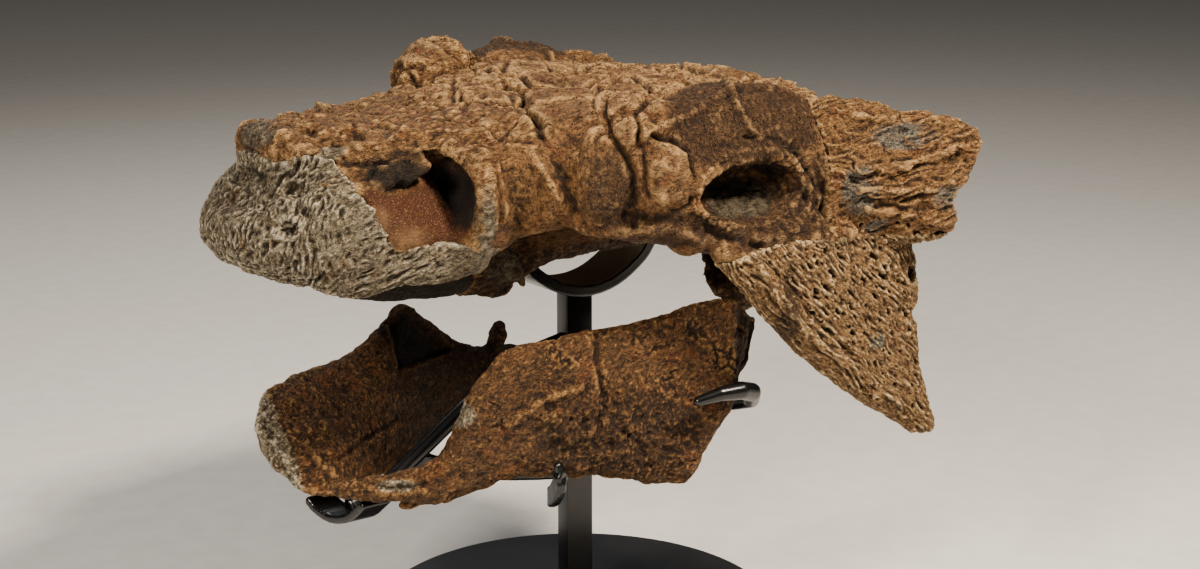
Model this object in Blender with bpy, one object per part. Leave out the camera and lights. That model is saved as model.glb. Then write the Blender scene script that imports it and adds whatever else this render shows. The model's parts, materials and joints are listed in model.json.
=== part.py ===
"""Life-size skull of an ankylosaurid dinosaur with both halves of its lower jaw, on a steel stand.

The skull looks along -X with its left side towards -Y and +Z up. The origin is the middle of
the underside of the base. All lengths are metres. The bones are built as masses that are fused,
softened, hollowed and parted along their sutures. The stand is made of bars, a post and a slab.
"""

import math
from typing import NamedTuple

import bmesh
import bpy
import numpy as np
from mathutils import Euler, Matrix, Vector

# Gap that parted or touching pieces keep, and sizes of the working mesh
SEAM = 0.0003
VOXEL = 0.0036
JAW_VOXEL = 0.0030
SOFTEN_ROUNDS = 9
SKULL_FACES = 7500
JAW_FACES = 1300

# Stand
BASE_RADIUS = 0.165
BASE_HEIGHT = 0.0165
BASE_BEVEL = 0.003
BASE_SIDES = 48
POST_SIDE = 0.0218
POST_TURN = math.radians(-12)
POST_TOP = 0.2835
CRADLE_WIDTH = 0.046
CRADLE_THICKNESS = 0.009
REST_WIDTH = 0.022
ARM_RADIUS = 0.0050
CLIP_WIDTH = 0.020
HOOK_WIDTH = 0.013
HOOK_THICKNESS = 0.0045
HOOK_STEPS = 4

# Middle lines of the bars that carry the skull and the jaws
CRADLE_ROUTE = (
    (-0.062, 0.0, 0.3230),
    (-0.050, 0.0, 0.3075),
    (-0.026, 0.0, 0.2925),
    (0.000, 0.0, 0.2875),
    (0.026, 0.0, 0.2925),
    (0.050, 0.0, 0.3075),
    (0.062, 0.0, 0.3230),
)
FRONT_ARM_ROUTE = (
    (-0.004, 0.0, 0.246),
    (-0.045, 0.0, 0.237),
    (-0.090, 0.0, 0.214),
    (-0.135, 0.0, 0.184),
    (-0.172, 0.0, 0.160),
    (-0.206, 0.0, 0.1480),
)
FRONT_REST_ROUTE = (
    (-0.220, 0.020, 0.152),
    (-0.218, 0.012, 0.1465),
    (-0.214, -0.004, 0.1430),
    (-0.210, -0.024, 0.149),
    (-0.206, -0.040, 0.163),
)
REAR_HOOK_ROUTE = (
    (0.004, -0.004, 0.206),
    (0.030, -0.050, 0.206),
    (0.046, -0.100, 0.210),
    (0.058, -0.128, 0.217),
    (0.057, -0.150, 0.226),
    (0.040, -0.162, 0.232),
    (0.018, -0.159, 0.231),
    (0.000, -0.152, 0.227),
)
LOW_HOOK_ROUTE = (
    (-0.004, -0.004, 0.152),
    (-0.040, -0.040, 0.150),
    (-0.074, -0.080, 0.153),
    (-0.093, -0.102, 0.161),
    (-0.099, -0.116, 0.169),
    (-0.102, -0.126, 0.182),
    (-0.103, -0.125, 0.195),
)
FAR_REAR_HOOK_ROUTE = (
    (0.004, 0.004, 0.190),
    (0.026, 0.044, 0.188),
    (0.044, 0.084, 0.186),
    (0.056, 0.110, 0.187),
    (0.058, 0.126, 0.190),
    (0.044, 0.135, 0.193),
    (0.022, 0.132, 0.195),
)
FAR_LOW_HOOK_ROUTE = (
    (-0.004, 0.004, 0.134),
    (-0.040, 0.032, 0.132),
    (-0.078, 0.062, 0.134),
    (-0.098, 0.080, 0.141),
    (-0.100, 0.094, 0.155),
    (-0.100, 0.100, 0.172),
)

# Route, width and number of narrowing rings at the tip of each bar that holds a jaw
HOOKS = {
    "stand_hook_left_rear": (REAR_HOOK_ROUTE, CLIP_WIDTH, 11),
    "stand_hook_left_low": (LOW_HOOK_ROUTE, HOOK_WIDTH, 6),
    "stand_hook_right_rear": (FAR_REAR_HOOK_ROUTE, HOOK_WIDTH, 6),
    "stand_hook_right_low": (FAR_LOW_HOOK_ROUTE, HOOK_WIDTH, 6),
}

# Skull roof armour
ROOF_LEVEL = 0.425
PLATE_SPACING = 0.049
PLATE_HEIGHT = 0.0060
FURROW_WIDTH = 0.014
PLATE_JITTER = 0.32
PLATES_FADE_FROM = -0.120
PLATES_FADE_TO = -0.220

# Openings of the left side, mirrored for the right
NOSTRIL_CENTRE = Vector((-0.184, -0.094, 0.395))
NOSTRIL_RADII = (0.031, 0.044, 0.0335)
NOSTRIL_TURN = (0.0, math.radians(10), math.radians(-24))
NOSTRIL_CORNER_CENTRE = Vector((-0.206, -0.082, 0.3955))
NOSTRIL_CORNER_RADII = (0.029, 0.032, 0.0135)
NOSTRIL_CORNER_TURN = (0.0, math.radians(15), math.radians(-24))
EYE_CENTRE = Vector((0.028, -0.184, 0.388))
EYE_RADII = (0.044, 0.036, 0.0215)
EYE_TURN = (0.0, math.radians(-1), math.radians(-6))
CHEEK_HOLLOW_CENTRE = Vector((0.010, -0.118, 0.322))
CHEEK_HOLLOW_RADII = (0.056, 0.027, 0.044)


class Slice(NamedTuple):
    """A cross-section of a skull mass: place along X, half width, top, bottom and squareness."""

    x: float
    half_width: float
    top: float
    bottom: float
    square: float = 3.0


class Blade(NamedTuple):
    """A cross-section of a horn or jaw: the middle of its upper and lower edge and its thickness."""

    top: tuple
    bottom: tuple
    thickness: float
    square: float = 2.4


BEAK = (
    Slice(-0.298, 0.022, 0.374, 0.356, 2.2),
    Slice(-0.293, 0.044, 0.381, 0.347, 2.4),
    Slice(-0.281, 0.064, 0.394, 0.340, 2.6),
    Slice(-0.262, 0.079, 0.408, 0.333),
    Slice(-0.230, 0.091, 0.420, 0.329),
    Slice(-0.175, 0.100, 0.422, 0.329),
    Slice(-0.130, 0.102, 0.422, 0.334),
    Slice(-0.112, 0.094, 0.416, 0.342),
)
BEAK_EDGE = (
    Blade((-0.286, -0.030, 0.374), (-0.285, -0.030, 0.350), 0.010),
    Blade((-0.264, -0.061, 0.374), (-0.263, -0.059, 0.337), 0.018),
    Blade((-0.244, -0.070, 0.374), (-0.243, -0.067, 0.326), 0.020),
    Blade((-0.226, -0.077, 0.372), (-0.225, -0.073, 0.326), 0.020),
    Blade((-0.208, -0.083, 0.370), (-0.207, -0.079, 0.334), 0.020),
    Blade((-0.170, -0.089, 0.366), (-0.170, -0.086, 0.332), 0.020),
    Blade((-0.138, -0.091, 0.362), (-0.138, -0.088, 0.335), 0.016),
)
SNOUT = (
    Slice(-0.273, 0.016, 0.432, 0.408, 2.0),
    Slice(-0.268, 0.034, 0.438, 0.398, 2.2),
    Slice(-0.248, 0.056, 0.441, 0.385, 2.6),
    Slice(-0.210, 0.076, 0.440, 0.370, 2.7),
    Slice(-0.160, 0.100, 0.441, 0.352, 2.8),
    Slice(-0.110, 0.121, 0.445, 0.349),
    Slice(-0.060, 0.139, 0.450, 0.357),
    Slice(0.000, 0.154, 0.453, 0.362),
    Slice(0.050, 0.160, 0.451, 0.354),
    Slice(0.100, 0.160, 0.444, 0.341),
    Slice(0.145, 0.150, 0.434, 0.338),
    Slice(0.170, 0.132, 0.424, 0.345),
)
PALATE = (
    Slice(-0.215, 0.026, 0.380, 0.316, 2.4),
    Slice(-0.190, 0.040, 0.380, 0.305, 2.6),
    Slice(-0.120, 0.050, 0.380, 0.300, 2.6),
    Slice(-0.080, 0.054, 0.380, 0.303, 2.6),
    Slice(-0.050, 0.062, 0.380, 0.318, 2.6),
    Slice(0.040, 0.070, 0.380, 0.322, 2.6),
    Slice(0.100, 0.072, 0.380, 0.322, 2.6),
    Slice(0.160, 0.060, 0.400, 0.326, 2.6),
)
CHEEK_HORN = (
    Blade((-0.012, -0.152, 0.374), (0.172, -0.165, 0.372), 0.046),
    Blade((0.001, -0.172, 0.340), (0.178, -0.184, 0.340), 0.042),
    Blade((0.028, -0.181, 0.308), (0.180, -0.193, 0.306), 0.034, 2.8),
    Blade((0.054, -0.187, 0.277), (0.177, -0.199, 0.274), 0.028, 2.8),
    Blade((0.084, -0.193, 0.248), (0.176, -0.205, 0.245), 0.023, 2.8),
    Blade((0.119, -0.200, 0.222), (0.180, -0.209, 0.219), 0.018, 2.8),
    Blade((0.148, -0.206, 0.201), (0.188, -0.212, 0.199), 0.013),
    Blade((0.166, -0.210, 0.188), (0.190, -0.213, 0.186), 0.008),
)
BROKEN_CHEEK_HORN = (
    Blade((-0.012, -0.152, 0.374), (0.172, -0.165, 0.372), 0.046),
    Blade((0.001, -0.172, 0.340), (0.178, -0.184, 0.340), 0.042),
    Blade((0.030, -0.180, 0.308), (0.176, -0.192, 0.312), 0.034, 3.0),
    Blade((0.054, -0.185, 0.292), (0.160, -0.193, 0.300), 0.026, 3.0),
    Blade((0.080, -0.188, 0.286), (0.138, -0.193, 0.292), 0.012),
)
CORNER_HORN = (
    Blade((0.060, -0.130, 0.440), (0.060, -0.140, 0.350), 0.070),
    Blade((0.100, -0.155, 0.444), (0.099, -0.167, 0.345), 0.062, 2.0),
    Blade((0.135, -0.178, 0.441), (0.130, -0.191, 0.341), 0.050, 1.8),
    Blade((0.165, -0.197, 0.434), (0.158, -0.208, 0.338), 0.036, 1.7),
    Blade((0.188, -0.213, 0.432), (0.176, -0.218, 0.337), 0.024, 1.7),
    Blade((0.203, -0.225, 0.427), (0.187, -0.223, 0.345), 0.014, 1.8),
    Blade((0.209, -0.230, 0.424), (0.197, -0.226, 0.372), 0.007),
)
QUADRATE = (
    Blade((-0.010, -0.104, 0.372), (-0.006, -0.104, 0.336), 0.012),
    Blade((0.020, -0.105, 0.372), (0.034, -0.105, 0.315), 0.013),
    Blade((0.045, -0.106, 0.372), (0.056, -0.107, 0.292), 0.016),
    Blade((0.070, -0.108, 0.372), (0.074, -0.110, 0.279), 0.022),
    Blade((0.090, -0.110, 0.372), (0.090, -0.112, 0.281), 0.022),
    Blade((0.104, -0.112, 0.372), (0.100, -0.112, 0.302), 0.014),
)
LEFT_JAW = (
    Blade((-0.236, -0.030, 0.182), (-0.236, -0.032, 0.172), 0.010),
    Blade((-0.228, -0.041, 0.185), (-0.228, -0.043, 0.170), 0.017),
    Blade((-0.200, -0.058, 0.188), (-0.198, -0.058, 0.167), 0.022),
    Blade((-0.172, -0.073, 0.201), (-0.172, -0.073, 0.164), 0.024),
    Blade((-0.153, -0.083, 0.243), (-0.150, -0.082, 0.170), 0.026),
    Blade((-0.130, -0.094, 0.276), (-0.124, -0.092, 0.179), 0.028),
    Blade((-0.088, -0.105, 0.283), (-0.086, -0.104, 0.176), 0.030),
    Blade((-0.055, -0.112, 0.285), (-0.047, -0.112, 0.169), 0.032),
    Blade((-0.018, -0.122, 0.290), (-0.013, -0.122, 0.160), 0.031),
    Blade((0.018, -0.134, 0.300), (0.009, -0.134, 0.160), 0.028),
    Blade((0.042, -0.142, 0.300), (0.021, -0.143, 0.190), 0.026),
    Blade((0.062, -0.140, 0.291), (0.038, -0.140, 0.218), 0.026),
    Blade((0.076, -0.132, 0.279), (0.064, -0.132, 0.238), 0.018),
)
RIGHT_JAW = (
    Blade((-0.262, 0.040, 0.208), (-0.262, 0.030, 0.192), 0.008),
    Blade((-0.254, 0.050, 0.222), (-0.256, 0.018, 0.178), 0.013),
    Blade((-0.238, 0.058, 0.231), (-0.246, 0.000, 0.168), 0.015),
    Blade((-0.205, 0.068, 0.237), (-0.226, -0.012, 0.161), 0.016),
    Blade((-0.165, 0.078, 0.240), (-0.192, 0.012, 0.155), 0.018),
    Blade((-0.131, 0.086, 0.253), (-0.155, 0.038, 0.150), 0.020),
    Blade((-0.103, 0.092, 0.270), (-0.122, 0.060, 0.150), 0.022),
    Blade((-0.077, 0.097, 0.250), (-0.090, 0.076, 0.155), 0.022),
    Blade((-0.050, 0.102, 0.228), (-0.062, 0.086, 0.163), 0.022),
    Blade((-0.020, 0.108, 0.217), (-0.030, 0.095, 0.168), 0.022),
    Blade((0.010, 0.114, 0.212), (0.004, 0.104, 0.172), 0.021),
    Blade((0.040, 0.118, 0.205), (0.038, 0.112, 0.180), 0.018),
    Blade((0.052, 0.119, 0.198), (0.052, 0.116, 0.188), 0.010),
)

# Side outline of the beak: the suture over it, along the nostril's crest and down behind it
BEAK_SUTURE = (
    (-0.340, 0.400),
    (-0.284, 0.404),
    (-0.272, 0.419),
    (-0.252, 0.425),
    (-0.241, 0.421),
    (-0.231, 0.394),
    (-0.214, 0.370),
    (-0.165, 0.360),
    (-0.128, 0.352),
    (-0.118, 0.290),
    (-0.340, 0.290),
)
CHEEK_HORN_SUTURE = (
    (-0.010, 0.332),
    (0.040, 0.349),
    (0.190, 0.345),
    (0.250, 0.337),
    (0.250, 0.140),
    (-0.010, 0.140),
)
CORNER_HORN_SUTURE = (
    (0.086, -0.300),
    (0.094, -0.170),
    (0.108, -0.140),
    (0.128, -0.126),
    (0.260, -0.120),
    (0.260, -0.300),
)
CHEEK_HORN_INNER_Y = 0.128
CORNER_HORN_FLOOR = 0.3465


def clear_scene() -> None:
    """Remove everything that the scene holds."""
    for thing in list(bpy.data.objects):
        bpy.data.objects.remove(thing, do_unlink=True)


def linear(hex_colour: str) -> tuple:
    """Turn an sRGB hex colour into linear red, green, blue and alpha."""
    parts = [int(hex_colour[i:i + 2], 16) / 255 for i in (1, 3, 5)]
    curve = [c / 12.92 if c <= 0.04045 else ((c + 0.055) / 1.055) ** 2.4 for c in parts]
    return (*curve, 1.0)


def finish(name: str, hex_colour: str, roughness: float, metallic: float = 0.0) -> bpy.types.Material:
    """Make one plain finish."""
    material = bpy.data.materials.new(name)
    material.use_nodes = True
    shader = material.node_tree.nodes["Principled BSDF"]
    shader.inputs["Base Color"].default_value = linear(hex_colour)
    shader.inputs["Roughness"].default_value = roughness
    shader.inputs["Metallic"].default_value = metallic
    return material


def make_object(name: str, shape: bmesh.types.BMesh) -> bpy.types.Object:
    """Turn a bmesh into an object with outward faces."""
    bmesh.ops.recalc_face_normals(shape, faces=shape.faces)
    mesh = bpy.data.meshes.new(name)
    shape.to_mesh(mesh)
    shape.free()
    thing = bpy.data.objects.new(name, mesh)
    bpy.context.scene.collection.objects.link(thing)
    return thing


def loft(name: str, rings: list) -> bpy.types.Object:
    """Join rings of equal length into a closed skin with a fan over each end."""
    shape = bmesh.new()
    rows = [[shape.verts.new(point) for point in ring] for ring in rings]
    count = len(rows[0])
    for lower, upper in zip(rows, rows[1:]):
        for i in range(count):
            j = (i + 1) % count
            shape.faces.new((lower[i], lower[j], upper[j], upper[i]))
    for row in (rows[0], rows[-1]):
        middle = shape.verts.new(sum((v.co for v in row), Vector()) / count)
        for i in range(count):
            shape.faces.new((row[i], row[(i + 1) % count], middle))
    return make_object(name, shape)


def smooth_rows(rows: list, steps: int) -> np.ndarray:
    """Run a smooth curve through rows of numbers, with a few steps from each row to the next."""
    table = np.array(rows, dtype=float)
    slope = np.gradient(table, axis=0)
    out = []
    for i in range(len(table) - 1):
        for t in np.arange(steps) / steps:
            value_blend = table[i] * (1 + 2 * t) * (1 - t) ** 2 + table[i + 1] * t * t * (3 - 2 * t)
            slope_blend = slope[i] * t * (1 - t) ** 2 + slope[i + 1] * t * t * (t - 1)
            out.append(value_blend + slope_blend)
    out.append(table[-1])
    return np.array(out)


def rounded(angle: float, square: float) -> tuple:
    """Return a point of a unit ring that is a circle at 2 and squarer above."""
    power = 2.0 / square
    c = math.cos(angle)
    s = math.sin(angle)
    return math.copysign(abs(c) ** power, c), math.copysign(abs(s) ** power, s)


def mass(name: str, slices: tuple, steps: int = 4, sides: int = 40) -> bpy.types.Object:
    """Build a mass on the middle plane from its slices."""
    rings = []
    for x, half_width, top, bottom, square in smooth_rows(slices, steps):
        ring = []
        for i in range(sides):
            across, up = rounded(math.tau * i / sides, square)
            ring.append((x, half_width * across, (top + bottom) / 2 + (top - bottom) / 2 * up))
        rings.append(ring)
    return loft(name, rings)


def blade(name: str, stations: tuple, side: int = 1) -> bpy.types.Object:
    """Build a plate-like bone from its stations, with side -1 for its mirror image."""
    steps = 3
    sides = 20
    rows = smooth_rows([(*s.top, *s.bottom, s.thickness, s.square) for s in stations], steps)
    middles = (rows[:, 0:3] + rows[:, 3:6]) / 2
    travel = np.gradient(middles, axis=0)
    rings = []
    for row, middle, run in zip(rows, middles, travel):
        tall = (row[0:3] - row[3:6]) / 2
        across = np.cross(run, tall)
        across *= row[6] / 2 / np.linalg.norm(across)
        ring = []
        for i in range(sides):
            a, b = rounded(math.tau * i / sides, row[7])
            point = middle + tall * a + across * b
            ring.append((point[0], side * point[1], point[2]))
        rings.append(ring)
    return loft(name, rings)


def ball(name: str, centre, radii: tuple, turn: tuple = (0, 0, 0), side: int = 1) -> bpy.types.Object:
    """Build an ellipsoid, with side -1 for its mirror image."""
    shape = bmesh.new()
    bmesh.ops.create_icosphere(shape, subdivisions=3, radius=1.0)
    turned = Euler(turn, "XYZ").to_matrix().to_4x4()
    place = Matrix.Translation(centre) @ turned @ Matrix.Diagonal((*radii, 1.0))
    bmesh.ops.transform(shape, matrix=Matrix.Diagonal((1, side, 1, 1)) @ place, verts=shape.verts)
    return make_object(name, shape)


def tube(name: str, route: tuple, radius: float, sides: int = 10, steps: int = 3) -> bpy.types.Object:
    """Build a round bar along a smooth route."""
    points = [Vector(p) for p in smooth_rows(route, steps)]
    rings = []
    for i, point in enumerate(points):
        run = (points[min(i + 1, len(points) - 1)] - points[max(i - 1, 0)]).normalized()
        first = run.cross(Vector((0.13, 0.31, 1.0))).normalized()
        second = run.cross(first)
        ring = []
        for k in range(sides):
            angle = math.tau * k / sides
            ring.append(point + radius * (math.cos(angle) * first + math.sin(angle) * second))
        rings.append(ring)
    return loft(name, rings)


def strap(name: str, route: tuple, width: Vector, thickness: float) -> bpy.types.Object:
    """Build a flat bar along a route, with its width along a fixed direction."""
    points = [Vector(p) for p in smooth_rows(route, 4)]
    rings = []
    for i, point in enumerate(points):
        run = (points[min(i + 1, len(points) - 1)] - points[max(i - 1, 0)]).normalized()
        thick = run.cross(width).normalized() * thickness / 2
        upper = [point + width / 2 + thick, point + width / 2 - thick]
        lower = [point - width / 2 - thick, point - width / 2 + thick]
        rings.append(upper + lower)
    return loft(name, rings)


def prism(name: str, outline: tuple, low: float, high: float, axis: str, side: int = 1) -> bpy.types.Object:
    """Build a straight-sided cutter from an outline, standing along Y or Z."""
    shape = bmesh.new()
    rows = []
    for level in (low, high):
        if axis == "Y":
            rows.append([shape.verts.new((a, level, b)) for a, b in outline])
        else:
            rows.append([shape.verts.new((a, side * b, level)) for a, b in outline])
    count = len(outline)
    for i in range(count):
        j = (i + 1) % count
        shape.faces.new((rows[0][i], rows[0][j], rows[1][j], rows[1][i]))
    shape.faces.new(rows[0])
    shape.faces.new(rows[1])
    bmesh.ops.triangulate(shape, faces=shape.faces)
    return make_object(name, shape)


def grown(outline: tuple, gap: float) -> tuple:
    """Move each side of an outline outwards by a gap."""
    points = [Vector(p) for p in outline]
    count = len(points)
    area = sum(points[i - 1].cross(points[i]) for i in range(count))
    turn = math.copysign(1.0, area)
    out = []
    for i in range(count):
        before = (points[i] - points[i - 1]).normalized()
        after = (points[(i + 1) % count] - points[i]).normalized()
        first = Vector((before.y, -before.x)) * turn
        second = Vector((after.y, -after.x)) * turn
        middle = (first + second).normalized()
        out.append(tuple(points[i] + middle * gap / middle.dot(first)))
    return tuple(out)


def apply_modifier(thing: bpy.types.Object) -> None:
    """Bake an object's modifiers into its mesh."""
    graph = bpy.context.evaluated_depsgraph_get()
    mesh = bpy.data.meshes.new_from_object(thing.evaluated_get(graph))
    thing.modifiers.clear()
    thing.data = mesh


def keep_largest(thing: bpy.types.Object) -> None:
    """Drop every loose scrap of a mesh but its largest closed surface."""
    shape = bmesh.new()
    shape.from_mesh(thing.data)
    seen = set()
    islands = []
    for start in shape.verts:
        if start in seen:
            continue
        seen.add(start)
        island = [start]
        for vert in island:
            for edge in vert.link_edges:
                other = edge.other_vert(vert)
                if other not in seen:
                    seen.add(other)
                    island.append(other)
        islands.append(island)
    islands.sort(key=len, reverse=True)
    for island in islands[1:]:
        bmesh.ops.delete(shape, geom=island, context="VERTS")
    shape.to_mesh(thing.data)
    shape.free()


def fuse(name: str, pieces: list) -> bpy.types.Object:
    """Join closed pieces into one body by a Boolean union and remove the pieces."""
    group = bpy.data.collections.new(name + "_pieces")
    for piece in pieces[1:]:
        group.objects.link(piece)
    body = pieces[0]
    body.name = name
    union = body.modifiers.new("union", "BOOLEAN")
    union.operation = "UNION"
    union.operand_type = "COLLECTION"
    union.collection = group
    union.solver = "EXACT"
    apply_modifier(body)
    for piece in pieces[1:]:
        bpy.data.objects.remove(piece, do_unlink=True)
    bpy.data.collections.remove(group)
    keep_largest(body)
    return body


def cut(body: bpy.types.Object, cutter: bpy.types.Object, operation: str = "DIFFERENCE") -> None:
    """Cut a body by a cutter and remove the cutter."""
    step = body.modifiers.new("cut", "BOOLEAN")
    step.operation = operation
    step.object = cutter
    step.solver = "EXACT"
    apply_modifier(body)
    bpy.data.objects.remove(cutter, do_unlink=True)
    keep_largest(body)


def soften(body: bpy.types.Object, voxel: float, rounds: int) -> None:
    """Even out a fused body's mesh and round the joins between its masses."""
    remesh = body.modifiers.new("remesh", "REMESH")
    remesh.mode = "VOXEL"
    remesh.voxel_size = voxel
    smooth = body.modifiers.new("smooth", "SMOOTH")
    smooth.factor = 0.5
    smooth.iterations = rounds
    apply_modifier(body)
    keep_largest(body)


def thin_out(body: bpy.types.Object, faces: int) -> None:
    """Bring a body down to a number of triangles, fewest where it is flat."""
    present = sum(len(p.vertices) - 2 for p in body.data.polygons)
    fewer = body.modifiers.new("fewer", "DECIMATE")
    fewer.ratio = faces / present
    fewer.use_collapse_triangulate = True
    apply_modifier(body)
    keep_largest(body)


def plate_seeds() -> np.ndarray:
    """Scatter the middles of the roof's armour plates, alike on both sides."""
    draw = np.random.default_rng(11)
    seeds = []
    rows = int(0.50 / (PLATE_SPACING * 0.87))
    for row in range(rows):
        x = -0.265 + row * PLATE_SPACING * 0.87
        for column in range(5):
            y = (column + 0.5 * (row % 2)) * PLATE_SPACING
            shift = draw.uniform(-PLATE_JITTER, PLATE_JITTER, 2) * PLATE_SPACING
            if column == 0 and row % 2 == 0:
                shift[1] = 0.0
            seeds.append((x + shift[0], y + shift[1]))
            if y + shift[1] > 0.0:
                seeds.append((x + shift[0], -y - shift[1]))
    return np.array(seeds)


def raise_armour(body: bpy.types.Object) -> None:
    """Raise the roof into low domed plates with furrows between them."""
    seeds = plate_seeds()
    mesh = body.data
    count = len(mesh.vertices)
    points = np.empty(count * 3)
    normals = np.empty(count * 3)
    mesh.vertices.foreach_get("co", points)
    mesh.vertices.foreach_get("normal", normals)
    points = points.reshape(-1, 3)
    normals = normals.reshape(-1, 3)
    reach = np.hypot(points[:, None, 0] - seeds[None, :, 0], points[:, None, 1] - seeds[None, :, 1])
    reach.sort(axis=1)
    dome = np.clip((reach[:, 1] - reach[:, 0]) / FURROW_WIDTH, 0, 1)
    on_roof = np.clip((points[:, 2] - ROOF_LEVEL) / 0.012, 0, 1) * np.clip(normals[:, 2] * 2, 0, 1)
    fade = (points[:, 0] - PLATES_FADE_TO) / (PLATES_FADE_FROM - PLATES_FADE_TO)
    on_roof *= np.clip(fade, 0.3, 1)
    points += normals * (on_roof * (dome * (2 - dome) - 0.5) * PLATE_HEIGHT)[:, None]
    mesh.vertices.foreach_set("co", points.ravel())
    mesh.update()


def both(builder, name: str, *sizes) -> list:
    """Build a piece and its mirror image."""
    return [builder(name + "_left", *sizes, side=1), builder(name + "_right", *sizes, side=-1)]


def part_off(body, name: str, outline: tuple, low: float, high: float, axis: str, side: int = 1):
    """Part a piece off a body along a suture, with a seam between the two."""
    piece = bpy.data.objects.new(name, body.data.copy())
    bpy.context.scene.collection.objects.link(piece)
    cut(piece, prism("saw", outline, low, high, axis, side), "INTERSECT")
    wider = math.copysign(SEAM, high - low)
    cut(body, prism("saw", grown(outline, SEAM), low - wider, high + wider, axis, side))
    return piece


def build_skull() -> dict:
    """Build the upper skull and part it into beak, cranium and four horns."""
    pieces = [mass("snout", SNOUT), mass("beak_mass", BEAK), mass("palate", PALATE)]
    pieces += [blade("cheek_mass_left", CHEEK_HORN), blade("cheek_mass_right", BROKEN_CHEEK_HORN, -1)]
    pieces += both(blade, "beak_edge", BEAK_EDGE)
    pieces += both(blade, "quadrate", QUADRATE)
    pieces += both(blade, "corner_mass", CORNER_HORN)
    pieces += both(ball, "brow", (0.038, -0.143, 0.421), (0.076, 0.040, 0.038), (0.0, 0.05, -0.14))
    pieces += both(ball, "brow_front", (-0.034, -0.128, 0.430), (0.040, 0.032, 0.026))
    pieces += both(ball, "eye_ring", (0.030, -0.150, 0.390), (0.070, 0.042, 0.042), (0.0, -0.05, -0.08))
    pieces += both(ball, "boss", (-0.033, -0.146, 0.405), (0.024, 0.026, 0.036), (0.1, 0.0, 0.0))
    pieces += both(ball, "cheek_swell", (-0.066, -0.124, 0.400), (0.028, 0.026, 0.044), (0.0, 0.25, -0.3))
    pieces += both(ball, "nostril_rim", (-0.150, -0.094, 0.385), (0.014, 0.024, 0.044), (0.0, 0.1, -0.3))
    pieces += both(ball, "cheek_bar", (-0.010, -0.148, 0.362), (0.070, 0.024, 0.013), (0.0, 0.05, -0.38))
    pieces += both(ball, "ear_wing", (0.150, -0.105, 0.352), (0.020, 0.050, 0.034), (0.0, 0.0, 0.15))
    pieces.append(ball("roof_boss_right", (-0.053, 0.117, 0.450), (0.031, 0.026, 0.0205)))
    pieces.append(ball("nape_crest", (0.156, 0.0, 0.425), (0.020, 0.118, 0.015)))
    pieces.append(ball("condyle", (0.166, 0.0, 0.350), (0.027, 0.023, 0.021)))
    skull = fuse("cranium", pieces)
    soften(skull, VOXEL, SOFTEN_ROUNDS)
    raise_armour(skull)
    thin_out(skull, SKULL_FACES)
    cut(skull, ball("front_notch", (-0.282, 0.016, 0.404), (0.018, 0.032, 0.009)))
    cut(skull, ball("beak_hollow", (-0.246, 0.0, 0.322), (0.044, 0.066, 0.024)))
    cut(skull, ball("nape_hole", (0.172, 0.0, 0.386), (0.030, 0.013, 0.011)))
    for side in (1, -1):
        cut(skull, ball("nape_hollow", (0.186, -0.072, 0.392), (0.044, 0.050, 0.022), (0, 0, 0), side))
        cut(skull, ball("nostril", NOSTRIL_CENTRE, NOSTRIL_RADII, NOSTRIL_TURN, side))
        corner = (NOSTRIL_CORNER_CENTRE, NOSTRIL_CORNER_RADII, NOSTRIL_CORNER_TURN)
        cut(skull, ball("nostril_corner", *corner, side))
        cut(skull, ball("eye", EYE_CENTRE, EYE_RADII, EYE_TURN, side))
        cut(skull, ball("cheek_hollow", CHEEK_HOLLOW_CENTRE, CHEEK_HOLLOW_RADII, (0, 0, 0), side))
    cut(skull, cradle("saw", SEAM))
    parts = {"cranium": skull}
    parts["beak"] = part_off(skull, "beak", BEAK_SUTURE, -0.2, 0.2, "Y")
    for side, word in ((1, "left"), (-1, "right")):
        name = "squamosal_horn_" + word
        parts[name] = part_off(skull, name, CORNER_HORN_SUTURE, CORNER_HORN_FLOOR, 0.6, "Z", side)
        name = "quadratojugal_horn_" + word
        inner = -side * CHEEK_HORN_INNER_Y
        parts[name] = part_off(skull, name, CHEEK_HORN_SUTURE, inner, -side * 0.3, "Y")
    return parts


def build_jaws() -> dict:
    """Build the two halves of the lower jaw."""
    left = blade("mandible_left", LEFT_JAW)
    right = fuse("mandible_right", [
        blade("mandible_right", RIGHT_JAW),
        ball("jaw_spike", (-0.005, 0.105, 0.222), (0.0075, 0.0085, 0.016), (0.0, 0.25, 0.0)),
    ])
    for jaw in (left, right):
        soften(jaw, JAW_VOXEL, 4)
        thin_out(jaw, JAW_FACES)
    cut(left, rest_strap("saw", SEAM))
    cut(right, rest_strap("saw", SEAM))
    for name, sizes in HOOKS.items():
        cut(left if "left" in name else right, hook("saw", *sizes, SEAM))
    return {"mandible_left": left, "mandible_right": right}


def cradle(name: str, gap: float = 0.0) -> bpy.types.Object:
    """Build the curved strap that the skull lies in, or a slightly bigger cutter of its shape."""
    return strap(name, CRADLE_ROUTE, Vector((0, CRADLE_WIDTH + 2 * gap, 0)), CRADLE_THICKNESS + 2 * gap)


def rest_strap(name: str, gap: float = 0.0) -> bpy.types.Object:
    """Build the strap under the chin, or a slightly bigger cutter of its shape."""
    return strap(name, FRONT_REST_ROUTE, Vector((REST_WIDTH + 2 * gap, 0, 0)), HOOK_THICKNESS + 2 * gap)


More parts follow.
